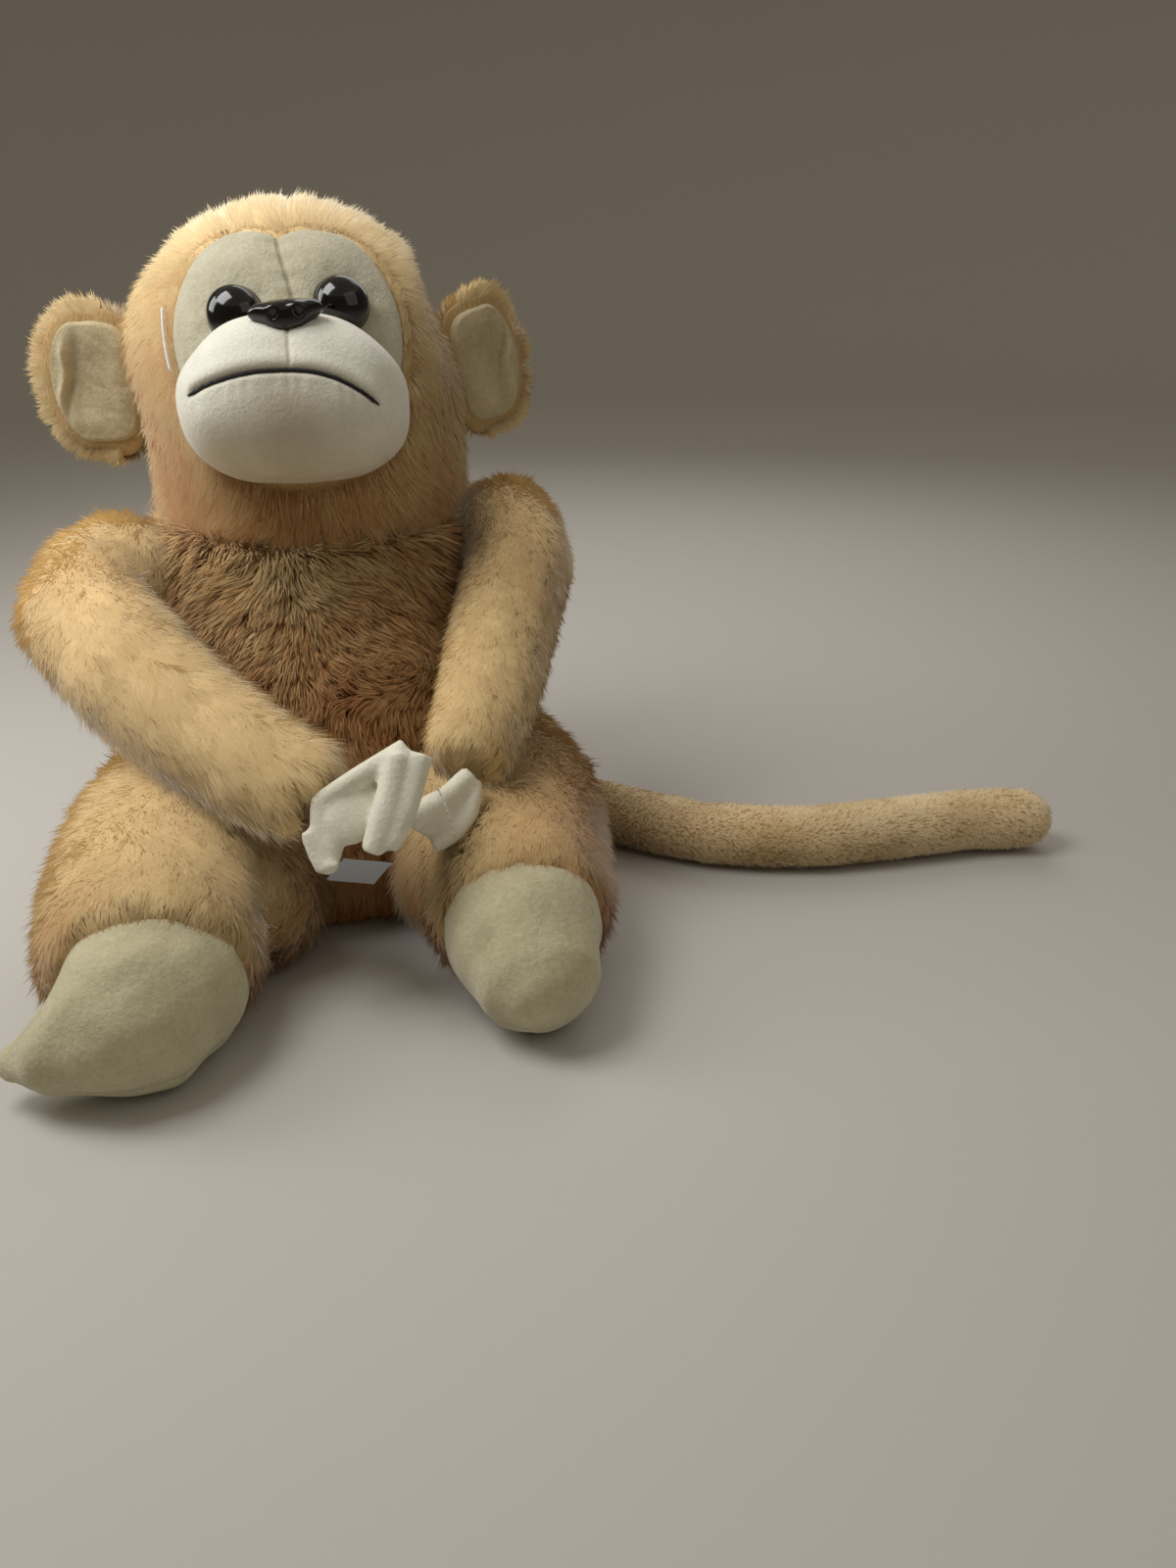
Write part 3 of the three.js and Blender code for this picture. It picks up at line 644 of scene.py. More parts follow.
def strandMesh(name, points, faces, normal, bright, shade, finishes):
    # every strand's points and faces as one mesh, its faces turned to the skin's outside
    total, corners = points.shape[:2]
    data = bpy.data.meshes.new(name)
    data.vertices.add(total * corners)
    data.vertices.foreach_set("co", (points * mm).astype(np.float32).ravel())
    start, second, third = (points[:, faces[0, k]] for k in range(3))
    turned = np.sum(np.cross(second - start, third - start) * normal, axis=1) < 0
    index = (np.arange(total)[:, None, None] * corners + faces[None])
    index[turned] = index[turned][:, :, ::-1]
    triangles = index.reshape(-1, 3)
    data.loops.add(len(triangles) * 3)
    data.loops.foreach_set("vertex_index", triangles.ravel().astype(np.int32))
    data.polygons.add(len(triangles))
    data.polygons.foreach_set("loop_start", np.arange(0, len(triangles) * 3, 3, dtype=np.int32))
    data.polygons.foreach_set("material_index", shade.ravel())
    for material in finishes:
        data.materials.append(material)
    data.update(calc_edges=True)
    data.shade_smooth()
    data.normals_split_custom_set_from_vertices(np.repeat(bright, corners, axis=0).tolist())
    return data


def growFur(name, skin, body, finishes, look, comb, toneOf, bare,
            keep=None, seed=1):
    # look: perMm2, length, width, rise and fall (degrees from upright at root and tip),
    # clump (0-1), clumpSize, ragged (0-1)
    rng = np.random.default_rng(seed)
    root, normal, free = rootsOn(skin, look["perMm2"], bare, rng)
    good = free > strand["openFrom"]
    if keep is not None:
        good &= keep(root)
    root, normal = root[good], normal[good]
    total = len(root)
    length = look["length"] * (1 - look["ragged"] * rng.random(total))
    if "lengthOf" in look:
        length = length * look["lengthOf"](root)
    way = comb(root)
    way = unit(way - normal * np.sum(way * normal, axis=1, keepdims=True))
    jitter = unit(way + rng.normal(0, look["fray"], (total, 3)))
    rise, fall = (math.radians(look[k]) for k in ("rise", "fall"))
    spread = rng.normal(0, strand["riseSpread"], total)[:, None]
    first = normal * np.cos(rise + spread) + jitter * np.sin(rise + spread)
    last = normal * np.cos(fall + spread) + jitter * np.sin(fall + spread)
    middle = root + first * length[:, None] * 0.5
    tip = middle + last * length[:, None] * 0.5
    # tufts: tips lean to the tip of the strand that leads them
    leaders, tuft = tuftsOf(root, way, look, rng)
    follow = leaders[tuft]
    least, more = strand["pull"]
    pull = look["clump"] * (least + more * rng.random(total))[:, None]
    tip += (tip[follow] - tip) * pull
    middle += (middle[follow] - middle) * pull * strand["middleFollows"]
    # each strand is a narrow kite along its curve, rolled a little about it
    across, along, faces = strandTemplate()
    line = unit(tip - root)
    side = unit(np.cross(line, normal))
    lift = np.cross(side, line)
    roll = rng.normal(0, strand["roll"], total)[:, None]
    side = side * np.cos(roll) + lift * np.sin(roll)
    least, more = strand["wide"]
    width = look["width"] * (least + more * rng.random(total))
    points = np.zeros((total, len(across), 3))
    for k, t in enumerate(along):
        spine = root * (1 - t) ** 2 + 2 * middle * t * (1 - t) + tip * t ** 2
        points[:, k] = spine + side * across[k] * 0.5 * width[:, None]
    # the fur rests on the ground
    points[:, :, 2] = np.maximum(points[:, :, 2], strand["ground"])
    lay = unit(np.cross(line, side))
    lay *= np.sign(np.sum(lay * normal, axis=1, keepdims=True))
    bright = unit(normal * (1 - look["glint"]) + lay * look["glint"])
    # the finish of each face: by place, by tuft, by chance, and a step lighter at the tip, painted
    # shade that keeps the roots darker than the tips
    last = len(finishes) - 1
    tone = (toneOf(root, normal) + rng.normal(0, look["toneJitter"], total)
            + rng.normal(0, look["tuftTone"], len(leaders))[tuft])
    tone = np.clip((tone * last + rng.random(total) - 0.5).round(), 0, last)
    lighter = (along[faces].mean(axis=1) > 0.5).astype(int)
    shade = np.clip(tone[:, None] + lighter[None], 0, last).astype(np.int32)
    data = strandMesh(name, points, faces, normal, bright, shade, finishes)
    piece = bpy.data.objects.new(name, data)
    scene.collection.objects.link(piece)
    piece.visible_shadow = look["shade"]      # light passes through the paler pile
    if body:
        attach(piece, body)
    print(name, total, "strands")
    return piece


plush = {
    # the fur runs from orange-brown under the chin to cream on the crown; the dark end is partly
    # painted shade, the cream end painted light from above
    "furRamp": ["a5683d", "bc9160", "cab17f", "e4cd9d", "f8efd6"], "furTones": 13,
    "tailRamp": ["b08f5c", "d4b886", "efdcb4"], "tailTones": 6,
    "backingLight": "c6a876", "backingDark": "a88a5c",
    "bellyLight": "98663f", "bellyDark": "7c5030",
    "creamLight": "f3f1e4", "creamDark": "e0ddcc", "chinShade": "a8977a",
    "maskLight": "cfcab2", "maskDark": "b6b095",
    "handLight": "f3f1e0", "handDark": "dedbc4",
    "footLight": "d2cba8", "footDark": "b4ac8a",
    "earLight": "cdbf9c", "earDark": "ab9c78",
    # the colour of the painted shade in seams, creases and folds
    "seam": "9a927a",
}


def rampOf(name, hexes, count):
    # evenly stepped hair finishes between the ramp's colours
    stops = np.array([paint(h)[:3] for h in hexes]) ** 0.5
    made = []
    for i in range(count):
        at = i / (count - 1) * (len(stops) - 1)
        mixed = [np.interp(at, range(len(stops)), stops[:, k]) ** 2 for k in range(3)]
        made.append(hairFinish("%s%d" % (name, i), mixed))
    return made


tones = rampOf("fur", plush["furRamp"], plush["furTones"])
tailTones = rampOf("tailPile", plush["tailRamp"], plush["tailTones"])
backing = backingFinish("furBacking", plush["backingLight"], plush["backingDark"])
# the belly's backing, dark like its fur: partly the belly's own orange-brown, partly painted shade
# under the head
bellyBacking = backingFinish("bellyBacking", plush["bellyLight"], plush["bellyDark"])
faceCloth = pileFinish("faceCloth", plush["maskLight"], plush["maskDark"], 1.6, 0.6,
                       plush["seam"], 0.3)
muzzleCloth = pileFinish("muzzleCloth", plush["creamLight"], plush["creamDark"], 1.2, 0.45,
                         plush["chinShade"], 0.35)
handCloth = pileFinish("handCloth", plush["handLight"], plush["handDark"], 1.2, 0.35,
                       plush["seam"], 0.3, 6.0)
footCloth = pileFinish("footCloth", plush["footLight"], plush["footDark"], 1.6, 0.5,
                       plush["seam"], 0.35, 12.0)
earCloth = pileFinish("earCloth", plush["earLight"], plush["earDark"], 1.4, 0.4,
                      plush["seam"], 0.3)
blackGloss = glossFinish("blackGloss", "050506")
washerPlastic = mouldedFinish("washerPlastic", "eeeeea", "d8d8d2")
print("finishes made")

buildCamera()
buildStudio()


def dress(piece, material, body, nodes):
    piece.data.materials.clear()
    piece.data.materials.append(material)
    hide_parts(*nodes)
    if body:
        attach(piece, body)
    return piece


def softBody(name, body, nodes, voxel, cap, extra=(), smoothing=5, material=backing):
    piece = fuse(name, nodeMeshes(*nodes) + list(extra), voxel, smoothing)
    if cap:
        puff(piece, cap)
    return dress(piece, material, body, nodes)


def toWorld(coords):
    turn = np.array(headMatrix)
    return (coords @ turn[:3, :3].T + turn[:3, 3]) * mm


def toHead(coords):
    # millimetres in the object's frame to the head's own frame
    turn = np.array(headMatrix.inverted())
    return coords @ turn[:3, :3].T + turn[:3, 3]


torso = softBody("torsoCover", "torso",
                 ("torso_front_panel", "torso_back_left_panel", "torso_back_right_panel",
                  "seat_panel", "torso_stuffing"), 3.2, 1.0,
                 material=bellyBacking)
headCover = softBody("headCover", "head",
                     ("head_panel_left", "head_panel_right", "head_stuffing"),
                     3.0, 0.6)
# the head narrows towards its upper left and is fuller towards its upper right
crown = {"side": 36, "pinch": 0.6, "swell": 0.3, "from": -14, "to": 26}


def shapeHead(piece):
    coords = coordsOf(piece.data) / mm
    turn = np.array(headMatrix)
    local = toHead(coords)
    x, z = local[:, 0], local[:, 2]
    rise = smoothStep(crown["from"], crown["to"], z)
    past = np.maximum(0, np.abs(x) - crown["side"])
    local[:, 0] -= past * rise * np.where(x > 0, crown["pinch"], crown["swell"])
    local[:, 2] += 2.0 * smoothStep(-10, -40, x) * smoothStep(10, 40, z)
    moveTo(piece.data, (local @ turn[:3, :3].T + turn[:3, 3]) * mm)


shapeHead(headCover)
neckPad = softBody("neckPad", "neck", ("neck_stuffing",), 1.6, 0.0, smoothing=3)
print("torso and head covers made")

legs, sleeves = {}, {}
thighs = {      # the fuller inner side of each thigh
    "right": ((-33, -42, 24), (21, 22, 20.5)),
    "left": ((34, -42, 23), (20, 20, 19.5)),
}
for side in ("right", "left"):
    legs[side] = softBody("legCover_" + side, "leg_" + side,
                          ("leg_cover_" + side, "leg_stuffing_" + side),
                          3.0, 1.0, extra=[ballMesh(*thighs[side])])
    sleeves[side] = softBody("sleeve_" + side + "_cover", "arm_" + side,
                             ("sleeve_" + side, "arm_stuffing_" + side), 2.4, 0.8)
print("limb covers made")


face = {
    "width": 37.0, "top": 34, "notch": 31, "low": -26, "shift": -1.4,
    "skull": (53.5, 52.5, 53), "lift": 0.9, "tuck": 2.4,
    "seamDepth": 0.75, "eyeDip": 1.6, "brow": 1.5, "margin": 1.06, "cloth": 1.4,
}


def maskOutline():
    wide, top, notch, low = face["width"], face["top"], face["notch"], face["low"]
    knots = [((0, notch), (7, top + 2), (22, top + 1), (28, top - 9)),
             ((28, top - 9), (34, top - 18), (wide, 6), (wide - 2, -6)),
             ((wide - 2, -6), (wide - 4, low * 0.75), (wide * 0.5, low), (0, low))]
    half = []
    for a, b, c, d in knots:
        ends = (Vector(knot).to_3d() for knot in (a, b, c, d))
        half += [tuple(p) for p in interpolate_bezier(*ends, 24)][:-1]
    return np.array([(x, z) for x, z, _ in half])


outlinePoints = maskOutline()
outlineAngle = np.arctan2(outlinePoints[:, 0], outlinePoints[:, 1])
outlineReach = np.linalg.norm(outlinePoints, axis=1)


def maskReach(x, z):
    # how far out a point is: 1 on the face panel's edge
    x = x - face["shift"]
    return np.hypot(x, z) / np.interp(np.arctan2(np.abs(x), z), outlineAngle, outlineReach)


def skullDepth(x, z):
    a, b, c = face["skull"]
    return -b * np.sqrt(np.maximum(0.02, 1 - (x / a) ** 2 - (z / c) ** 2))


def hollow(x, z, cx, cz, size):
    return np.exp(-((x - cx) ** 2 + (z - cz) ** 2) / size ** 2)


def buildFace():
    mesh, x, z = discDraft(170)
    reach = np.hypot(x, z)
    edge = np.interp(np.arctan2(np.abs(x), z), outlineAngle, outlineReach)
    x, z = x * edge * face["margin"] + face["shift"], z * edge * face["margin"]
    y = skullDepth(x, z)
    lift = face["lift"] - (face["lift"] + face["tuck"]) * smoothStep(0.86, 1.0, reach) ** 2
    wander = drift(np.stack([x, y, z], 1), 16, 5)
    middle = x - face["shift"] + 0.6 - 3.6 * smoothStep(31, 6, z)
    seam = np.exp(-(middle / 0.6) ** 2)
    pucker = np.exp(-(middle / 4.5) ** 2) * np.sin(z * 1.1) * 0.18
    lift += pucker + wander[:, 0] * 0.25
    lift -= seam * face["seamDepth"] + np.exp(-(middle / 3.6) ** 2) * 0.7
    for sign, rise in ((-1, 0), (1, 2)):
        lift -= hollow(x, z, sign * 16, 4 + rise, 11.5) * face["eyeDip"]
        lift += hollow(x, z, sign * 14, 22, 10) * face["brow"]
        lift += hollow(x, z, sign * 29, 8, 8) * 0.5
        ring = np.hypot(x - sign * 16, z - 5 - rise)
        angle = np.arctan2(z - 5 - rise, x - sign * 16)
        lift += np.exp(-((ring - 11) / 2.4) ** 2) * np.sin(angle * 9 + sign) * 0.16
    coords = np.stack([x, y, z], 1)
    out = unit(coords / np.array(face["skull"]) ** 2)
    moveTo(mesh, toWorld(coords + out * lift[:, None]))
    # painted shade along the centre seam's groove, fading out towards the muzzle
    paintSeamShade(mesh, seam * 0.65 * smoothStep(-6, 0, z))
    piece = newPiece("facePanel", mesh, faceCloth)
    thicken(piece, face["cloth"])
    piece.data.shade_smooth()
    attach(piece, "head")
    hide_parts("face_panel_left", "face_panel_right")
    return piece


muzzle = {
    "centre": (-1.2, -43, -18.8), "size": (35.0, 30, 24.4), "square": 2.6, "mouthAt": -3.0,
    "mouthMiddle": -17.0, "mouthRight": -21.0, "mouthLeft": -26.4, "mouthHalf": 27.4,
    "lip": 0.6, "crease": 1.2,
}


def mouthLine(x):
    # height of the mouth across the muzzle: flat in the middle, turning down at its ends
    part = np.abs(x - muzzle["mouthAt"]) / muzzle["mouthHalf"]
    end = np.where(x < muzzle["mouthAt"], muzzle["mouthRight"], muzzle["mouthLeft"])
    return muzzle["mouthMiddle"] + (end - muzzle["mouthMiddle"]) * part ** 2.3


def muzzleSurface(way):
    # way: unit directions from the muzzle's centre, returned as points on its rounded form
    p = muzzle["square"]
    size = np.array(muzzle["size"])
    soft = np.sum((np.abs(way) / size) ** p, axis=1) ** (-1 / p)
    return way * soft[:, None]


def buildMuzzle():
    mesh, way = ballDraft(260, 150)
    local = muzzleSurface(way)
    coords = local + np.array(muzzle["centre"])
    x, z = coords[:, 0], coords[:, 2]
    front = smoothStep(-0.15, 0.35, -way[:, 1])
    # the top slopes back beside the nose
    narrow = smoothStep(-22, 6, z)
    coords[:, 0] = x * (1 - 0.20 * narrow ** 1.5)
    x = coords[:, 0]
    height = z - mouthLine(x)
    far = muzzle["mouthHalf"]
    inside = 1 - smoothStep(far - 2, far + 1, np.abs(x - muzzle["mouthAt"]))
    crease = np.exp(-(height / 1.1) ** 2) * inside * front
    lip = np.exp(-((height - 3.0) / 2.6) ** 2) * inside * front
    gather = np.exp(-((height + 3.2) / 3.2) ** 2) * inside * front
    seam = np.exp(-(x / 0.6) ** 2) * smoothStep(0, 2, height) * front
    wander = drift(coords, 15, 11)
    lift = wander[:, 0] * 0.35 + lip * muzzle["lip"] - crease * muzzle["crease"]
    lift += gather * (np.sin(x * 1.25 + np.sin(x * 0.4) * 2) * 0.12 - 0.25)
    lift -= seam * 0.5 + np.exp(-(x / 3.0) ** 2) * smoothStep(0, 3, height) * 0.4 * front
    lift += hollow(x, z, 0, -31, 17) * front
    coords += way * lift[:, None]
    moveTo(mesh, toWorld(coords))
    # painted shade: in the mouth crease, along the centre seam, and on the chin below the mouth, which
    # faces down
    below = hollow(x, z * 1.15, -2, -36, 17) * front * smoothStep(0.5, -3, height)
    paintSeamShade(mesh, np.maximum(np.maximum(crease * 0.8, seam * 0.3), below * 0.6))
    piece = newPiece("muzzle", mesh, muzzleCloth)
    turnOut(piece)
    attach(piece, "head")
    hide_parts("muzzle_upper_left", "muzzle_upper_right", "chin_panel")
    return piece


def onMuzzle(tree, x, z, lift=0.0):
    # the point on the built muzzle straight behind (x, z) in the head's frame
    start = headMatrix @ Vector((x, -110, z)) * mm
    way = (headMatrix.to_3x3() @ Vector((0, 1, 0))).normalized()
    hit, normal, _, _ = tree.ray_cast(start, way)
    if normal.dot(way) > 0:
        normal = -normal
    return hit / mm + normal * lift


stitch = {"radius": 0.52, "count": 38}


def buildMouth(tree):
    half = muzzle["mouthHalf"]
    xs = np.linspace(-half, half, 160) + muzzle["mouthAt"]
    points = [onMuzzle(tree, x, float(mouthLine(x)), 0.25) for x in xs]
    radii = [stitch["radius"] * (0.92 + 0.16 * abs(math.sin(i * stitch["count"] / 160 * math.pi)))
             * min(1, 0.35 + min(i, len(points) - 1 - i) / 8) for i in range(len(points))]
    piece = newPiece("mouthStitch", tubeMesh(points, radii, 12), twistFinish(
        "mouthThread", "17161a", "050506", 0.8))
    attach(piece, "head")
    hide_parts("mouth_stitch")


eye = {"radius": 8.35, "rim": 8.7, "rimThick": 0.8, "rise": 7.2, "apart": 31.6,
       "height": {"right": 5.6, "left": 7.8}}


def skullPoint(x, z):
    return Vector((x, float(skullDepth(np.array([x]), np.array([z]))[0]), z))


def buildEye(side, sign):
    place = skullPoint(sign * eye["apart"] / 2, eye["height"][side])
    look = Vector((sign * 0.2, -1, 0.06)).normalized()
    bm = bmesh.new()
    profile = [(0, -9), (1.5, -9), (1.5, -0.6), (eye["rim"] - 0.35, -0.6), (eye["rim"], -0.2),
               (eye["rim"], 0.45), (eye["rim"] - 0.3, eye["rimThick"])]
    steps = 22
    for i in range(1, steps + 1):
        angle = i / steps * math.pi / 2
        profile.append((eye["radius"] * math.cos(angle),
                        eye["rimThick"] + eye["rise"] * math.sin(angle) ** 0.96))
    knots = [bm.verts.new((x, 0, z)) for x, z in profile]
    edges = [bm.edges.new(pair) for pair in zip(knots, knots[1:])]
    bmesh.ops.spin(bm, geom=knots + edges, cent=(0, 0, 0), axis=(0, 0, 1),
                   angle=math.tau, steps=72, use_merge=True)
    bmesh.ops.remove_doubles(bm, verts=bm.verts, dist=1e-4)
    bmesh.ops.recalc_face_normals(bm, faces=bm.faces)
    turn = look.to_track_quat("Z", "Y").to_matrix().to_4x4()
    bmesh.ops.transform(bm, verts=bm.verts, matrix=Matrix.Scale(mm, 4) @ headMatrix
                        @ Matrix.Translation(place + look * eye["rimThick"]) @ turn)
    piece = newPiece("eyeDome_" + side, meshOf(bm), blackGloss)
    turnOut(piece)
    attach(piece, "head")
    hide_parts("eye_" + side)


nose = {"wide": 22.0, "deep": 9.5, "high": 10.4, "pitch": -20, "roll": -5, "at": 0.0,
        "forward": 2.8}


def buildNose(tree):
    mesh, way = ballDraft(96, 64)
    x, y, z = way.T
    coords = way * np.array([nose["wide"] / 2, nose["deep"] / 2, nose["high"] / 2])
    coords[:, 0] *= 1 - 0.28 * smoothStep(0.1, -0.85, z)      # narrower below
    # flat top, raised corners
    coords[:, 2] -= 0.9 * (1 - np.abs(x)) * smoothStep(0, 0.6, z)
    coords[:, 2] += 1.1 * smoothStep(0.45, 1.0, np.abs(x))
    for sign in (-1, 1):
        x, z = coords[:, 0], coords[:, 2]
        wing = np.exp(-((x - sign * 3.9) / 2.6) ** 2 - ((z + 1.4) / 2.2) ** 2)
        coords[:, 1] -= wing * 1.1 * (y < 0)
        dent = np.exp(-((x - sign * 3.7) / 1.15) ** 2 - ((z + 2.2) / 0.95) ** 2)
        coords[:, 1] += dent * 2.2 * (y < 0)
    rest = headMatrix.inverted() @ onMuzzle(tree, 0, nose["at"])
    centre = Vector((0, rest.y - nose["forward"], nose["at"]))
    turn = (Matrix.Rotation(math.radians(nose["pitch"]), 4, "X")
            @ Matrix.Rotation(math.radians(nose["roll"]), 4, "Y"))
    place = np.array(Matrix.Translation(centre) @ turn)
    moveTo(mesh, toWorld(coords @ place[:3, :3].T + place[:3, 3]))
    piece = newPiece("noseButton", mesh, blackGloss)
    turnOut(piece)
    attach(piece, "head")
    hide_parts("nose")


facePanel = buildFace()
muzzlePiece = buildMuzzle()
muzzleTree = treeOf(muzzlePiece)
buildMouth(muzzleTree)
buildEye("right", -1)
buildEye("left", 1)
buildNose(muzzleTree)
for name in ("eye_washer_left", "eye_washer_right", "nose_washer"):
    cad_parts[name].data.materials.clear()
    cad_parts[name].data.materials.append(washerPlastic)
print("face made")


ears = {
    "high": 23.5, "thick": 6, "y": 65, "z": 173, "hollow": 3.0, "join": 3.5, "cloth": 1.0,
    "right": {"x": -70, "out": 15.5, "sweep": -18, "drop": -2, "lean": 0},
    "left": {"x": 69, "out": 14.5, "sweep": 30, "drop": 0, "lean": -12},
}
earPieces = {}


def earReach(side, x, z):
    # 1 on the ear's edge; the head's side of the ear is squarer, so the ear is a rounded D
    toHeadSide = x if side == "right" else -x
    power = 2 + 2.2 * smoothStep(-2, 8, toHeadSide)
    wide = ears[side]["out"] + ears["join"] * smoothStep(-6, 10, toHeadSide)
    return ((np.abs(x) / wide) ** power + (np.abs(z) / ears["high"]) ** power) ** (1 / power)


def earFront(reach):
    # depth of the ear's hollow front
    reach = np.minimum(reach, 1)
    return -2.7 * np.sqrt(1 - reach ** 2) + ears["hollow"] * (1 - smoothStep(0.0, 0.85, reach))


def toEarEdge(side, x, z, reach):
    # a unit disc's points spread out to the edge of the D, in a few steps that settle on it
    x, z = x * 20, z * 20
    for _ in range(6):
        scale = reach / np.maximum(earReach(side, x, z), 1e-6)
        x, z = x * scale, z * scale
    return x, z


def buildEar(side):
    x, sweep = ears[side]["x"], ears[side]["sweep"]
    sign = -1 if side == "right" else 1
    place = np.array(Matrix.Translation((x, ears["y"], ears["z"] + ears[side]["drop"]))
                     @ Matrix.Rotation(math.radians(sweep), 4, "Z")
                     @ Matrix.Rotation(math.radians(ears[side]["lean"]), 4, "Y"))

    def put(coords):
        return (coords @ place[:3, :3].T + place[:3, 3]) * mm

    mesh, way = ballDraft(96, 72)
    flat = np.hypot(way[:, 0], way[:, 2])
    x, z = toEarEdge(side, way[:, 0], way[:, 2], flat)
    depth = np.where(way[:, 1] < 0, earFront(flat), way[:, 1] * ears["thick"])
    coords = np.stack([x, depth, z], 1)
    angle = np.arctan2(z, x)
    wave = 1 + 0.03 * np.sin(angle * 5 + 1) + 0.015 * np.sin(angle * 9)
    coords[:, 0] *= wave
    coords[:, 2] *= wave
    coords += drift(coords, 12, 21 + sign) * 0.2
    moveTo(mesh, put(coords))
    cover = newPiece("earCover_" + side, mesh, backing)
    turnOut(cover)
    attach(cover, "ear_" + side)
    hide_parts("ear_back_" + side)
    # inner panel: a shallow cup with one long fold, reaching the head's edge of the ear
    inner, px, pz = discDraft(90)
    reach = np.hypot(px, pz)
    x, z = toEarEdge(side, px, pz, reach)
    outer = smoothStep(-4, 10, x * sign)
    x, z = x * (0.97 - 0.20 * outer), z * 0.87
    fold = np.exp(-((px - sign * 0.25 - 0.25 * np.sin(pz * 2.2)) / 0.11) ** 2)
    ridge = np.exp(-((px - sign * 0.52 - 0.25 * np.sin(pz * 2.2)) / 0.16) ** 2)
    depth = earFront(earReach(side, x, z)) - 1.1 + 2.4 * smoothStep(0.9, 1.0, reach)
    depth -= (ridge * 1.3 + (1 - fold) * 0.7) * (1 - smoothStep(0.6, 0.95, reach))
    coords = np.stack([x, depth, z], 1)
    coords[:, 1] -= np.abs(drift(coords, 9, 31 + sign)[:, 0]) * 0.25
    moveTo(inner, put(coords))
    # painted shade in the inner panel's long fold
    paintSeamShade(inner, fold * 0.4 * (1 - smoothStep(0.7, 1, reach)))
    piece = newPiece("earInner_" + side, inner, earCloth)
    thicken(piece, ears["cloth"])
    piece.data.shade_smooth()
    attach(piece, "ear_" + side)
    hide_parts("ear_front_" + side)
    earPieces[side] = (cover, place)


buildEar("right")
buildEar("left")
print("ears made")


# each hand is flat plates (centre, radii, turn) melted together with rolled digits (line, radii)
hands = {
    "voxel": 1.0, "wrinkleSize": 7, "wrinkleDeep": 0.18,
    "right": {
        "plates": [((3.5, -73, 66), (13.5, 3.2, 8), (-28, -44, 0)),
                   ((-7, -76.5, 56), (4.2, 3, 7.5), (-28, 8, 0))],
        "digits": [
            ([(-8, -69, 67), (-3, -72, 71), (7, -72.5, 77), (18, -71, 82)],
             [3.0, 3.1, 3.2, 3.0]),
            ([(-8, -70, 68), (-10, -75, 60), (-9.5, -80, 50)], [2.8, 2.6, 2.4]),
            ([(-12.5, -75, 61), (-12, -79, 54), (-8.5, -81.5, 48.5), (-5.5, -80.5, 53)],
             [2.0, 2.2, 2.3, 2.0]),
            ([(15, -73, 81), (11.5, -79, 69), (8, -82.5, 62), (4.8, -84, 56)],
             [3.8, 4.4, 4.3, 3.4]),
            ([(22, -73, 80), (17.5, -79, 69), (13, -82.5, 62), (9.5, -84, 57)],
             [3.6, 4.0, 3.8, 3.0]),
        ],
    },
    "left": {
        "plates": [((28, -65.5, 57), (11, 3.4, 7.5), (-32, -8, 0))],
        "digits": [
            ([(38, -60, 64), (37, -66, 57), (32, -70, 51), (23, -71.5, 50)],
             [3.0, 3.2, 3.2, 2.8]),
            ([(37, -60, 66), (28, -67.5, 62), (17, -71, 57)], [3.4, 3.4, 3.0]),
        ],
    },
}


def buildHand(side):
    parts = [ballMesh(*plate) for plate in hands[side]["plates"]]
    parts += [tubeMesh(points, radii) for points, radii in hands[side]["digits"]]
    piece = fuse("hand_" + side, parts, hands["voxel"])
    finer(piece)
    coords = coordsOf(piece.data)
    wrinkle = drift(coords / mm, hands["wrinkleSize"], 41)[:, :1]
    coords += normalsOf(piece.data) * wrinkle * hands["wrinkleDeep"] * mm
    moveTo(piece.data, coords)
    paintSeamShade(piece.data, np.zeros(len(coords)))
    return dress(piece, handCloth, "arm_" + side,
                 ("hand_back_" + side, "hand_palm_" + side))


def buildFoot(side):
    nodes = ("foot_upper_" + side, "foot_sole_" + side)
    piece = fuse("foot_" + side, nodeMeshes(*nodes), 2.0, 6)
    puff(piece, 1.0)
    finer(piece)
    coords = coordsOf(piece.data) / mm
    normal = normalsOf(piece.data)
    ripple = drift(coords, 14, 51)[:, 0] * 0.5 + drift(coords, 6, 52)[:, 1] * 0.15
    seam = np.exp(-((coords[:, 2] - 9) / 0.8) ** 2)
    coords += normal * (ripple - seam * 0.4)[:, None]
    coords[:, 2] = np.maximum(coords[:, 2], 0.2)
    moveTo(piece.data, coords * mm)
    # painted shade in the seam's groove
    paintSeamShade(piece.data, seam * 0.25)
    return dress(piece, footCloth, "leg_" + side, nodes)


handPieces = {side: buildHand(side) for side in ("right", "left")}
feet = {side: buildFoot(side) for side in ("right", "left")}
print("hands and feet made")


tail = {
    "line": [(34, 46, 16), (62, 40, 13), (86, 22, 12), (106, 2, 12), (128, -16, 12),
             (158, -28, 12), (194, -31, 12), (230, -32, 12), (247, -36, 12)],
    "bendFrom": (113, -6, 12), "bendTo": (143, -23, 12),
}


tailPiece = softBody("tailCover", None,
                     ("tail_cover_base", "tail_cover_end", "tail_stuffing_base",
                      "tail_stuffing_end"), 2.4, 0.5)

label = {"flat": (15.0, 17.0), "turn": -12, "lean": 38, "roll": 28, "shift": (-3, -6, -1),
         "thick": 0.3}


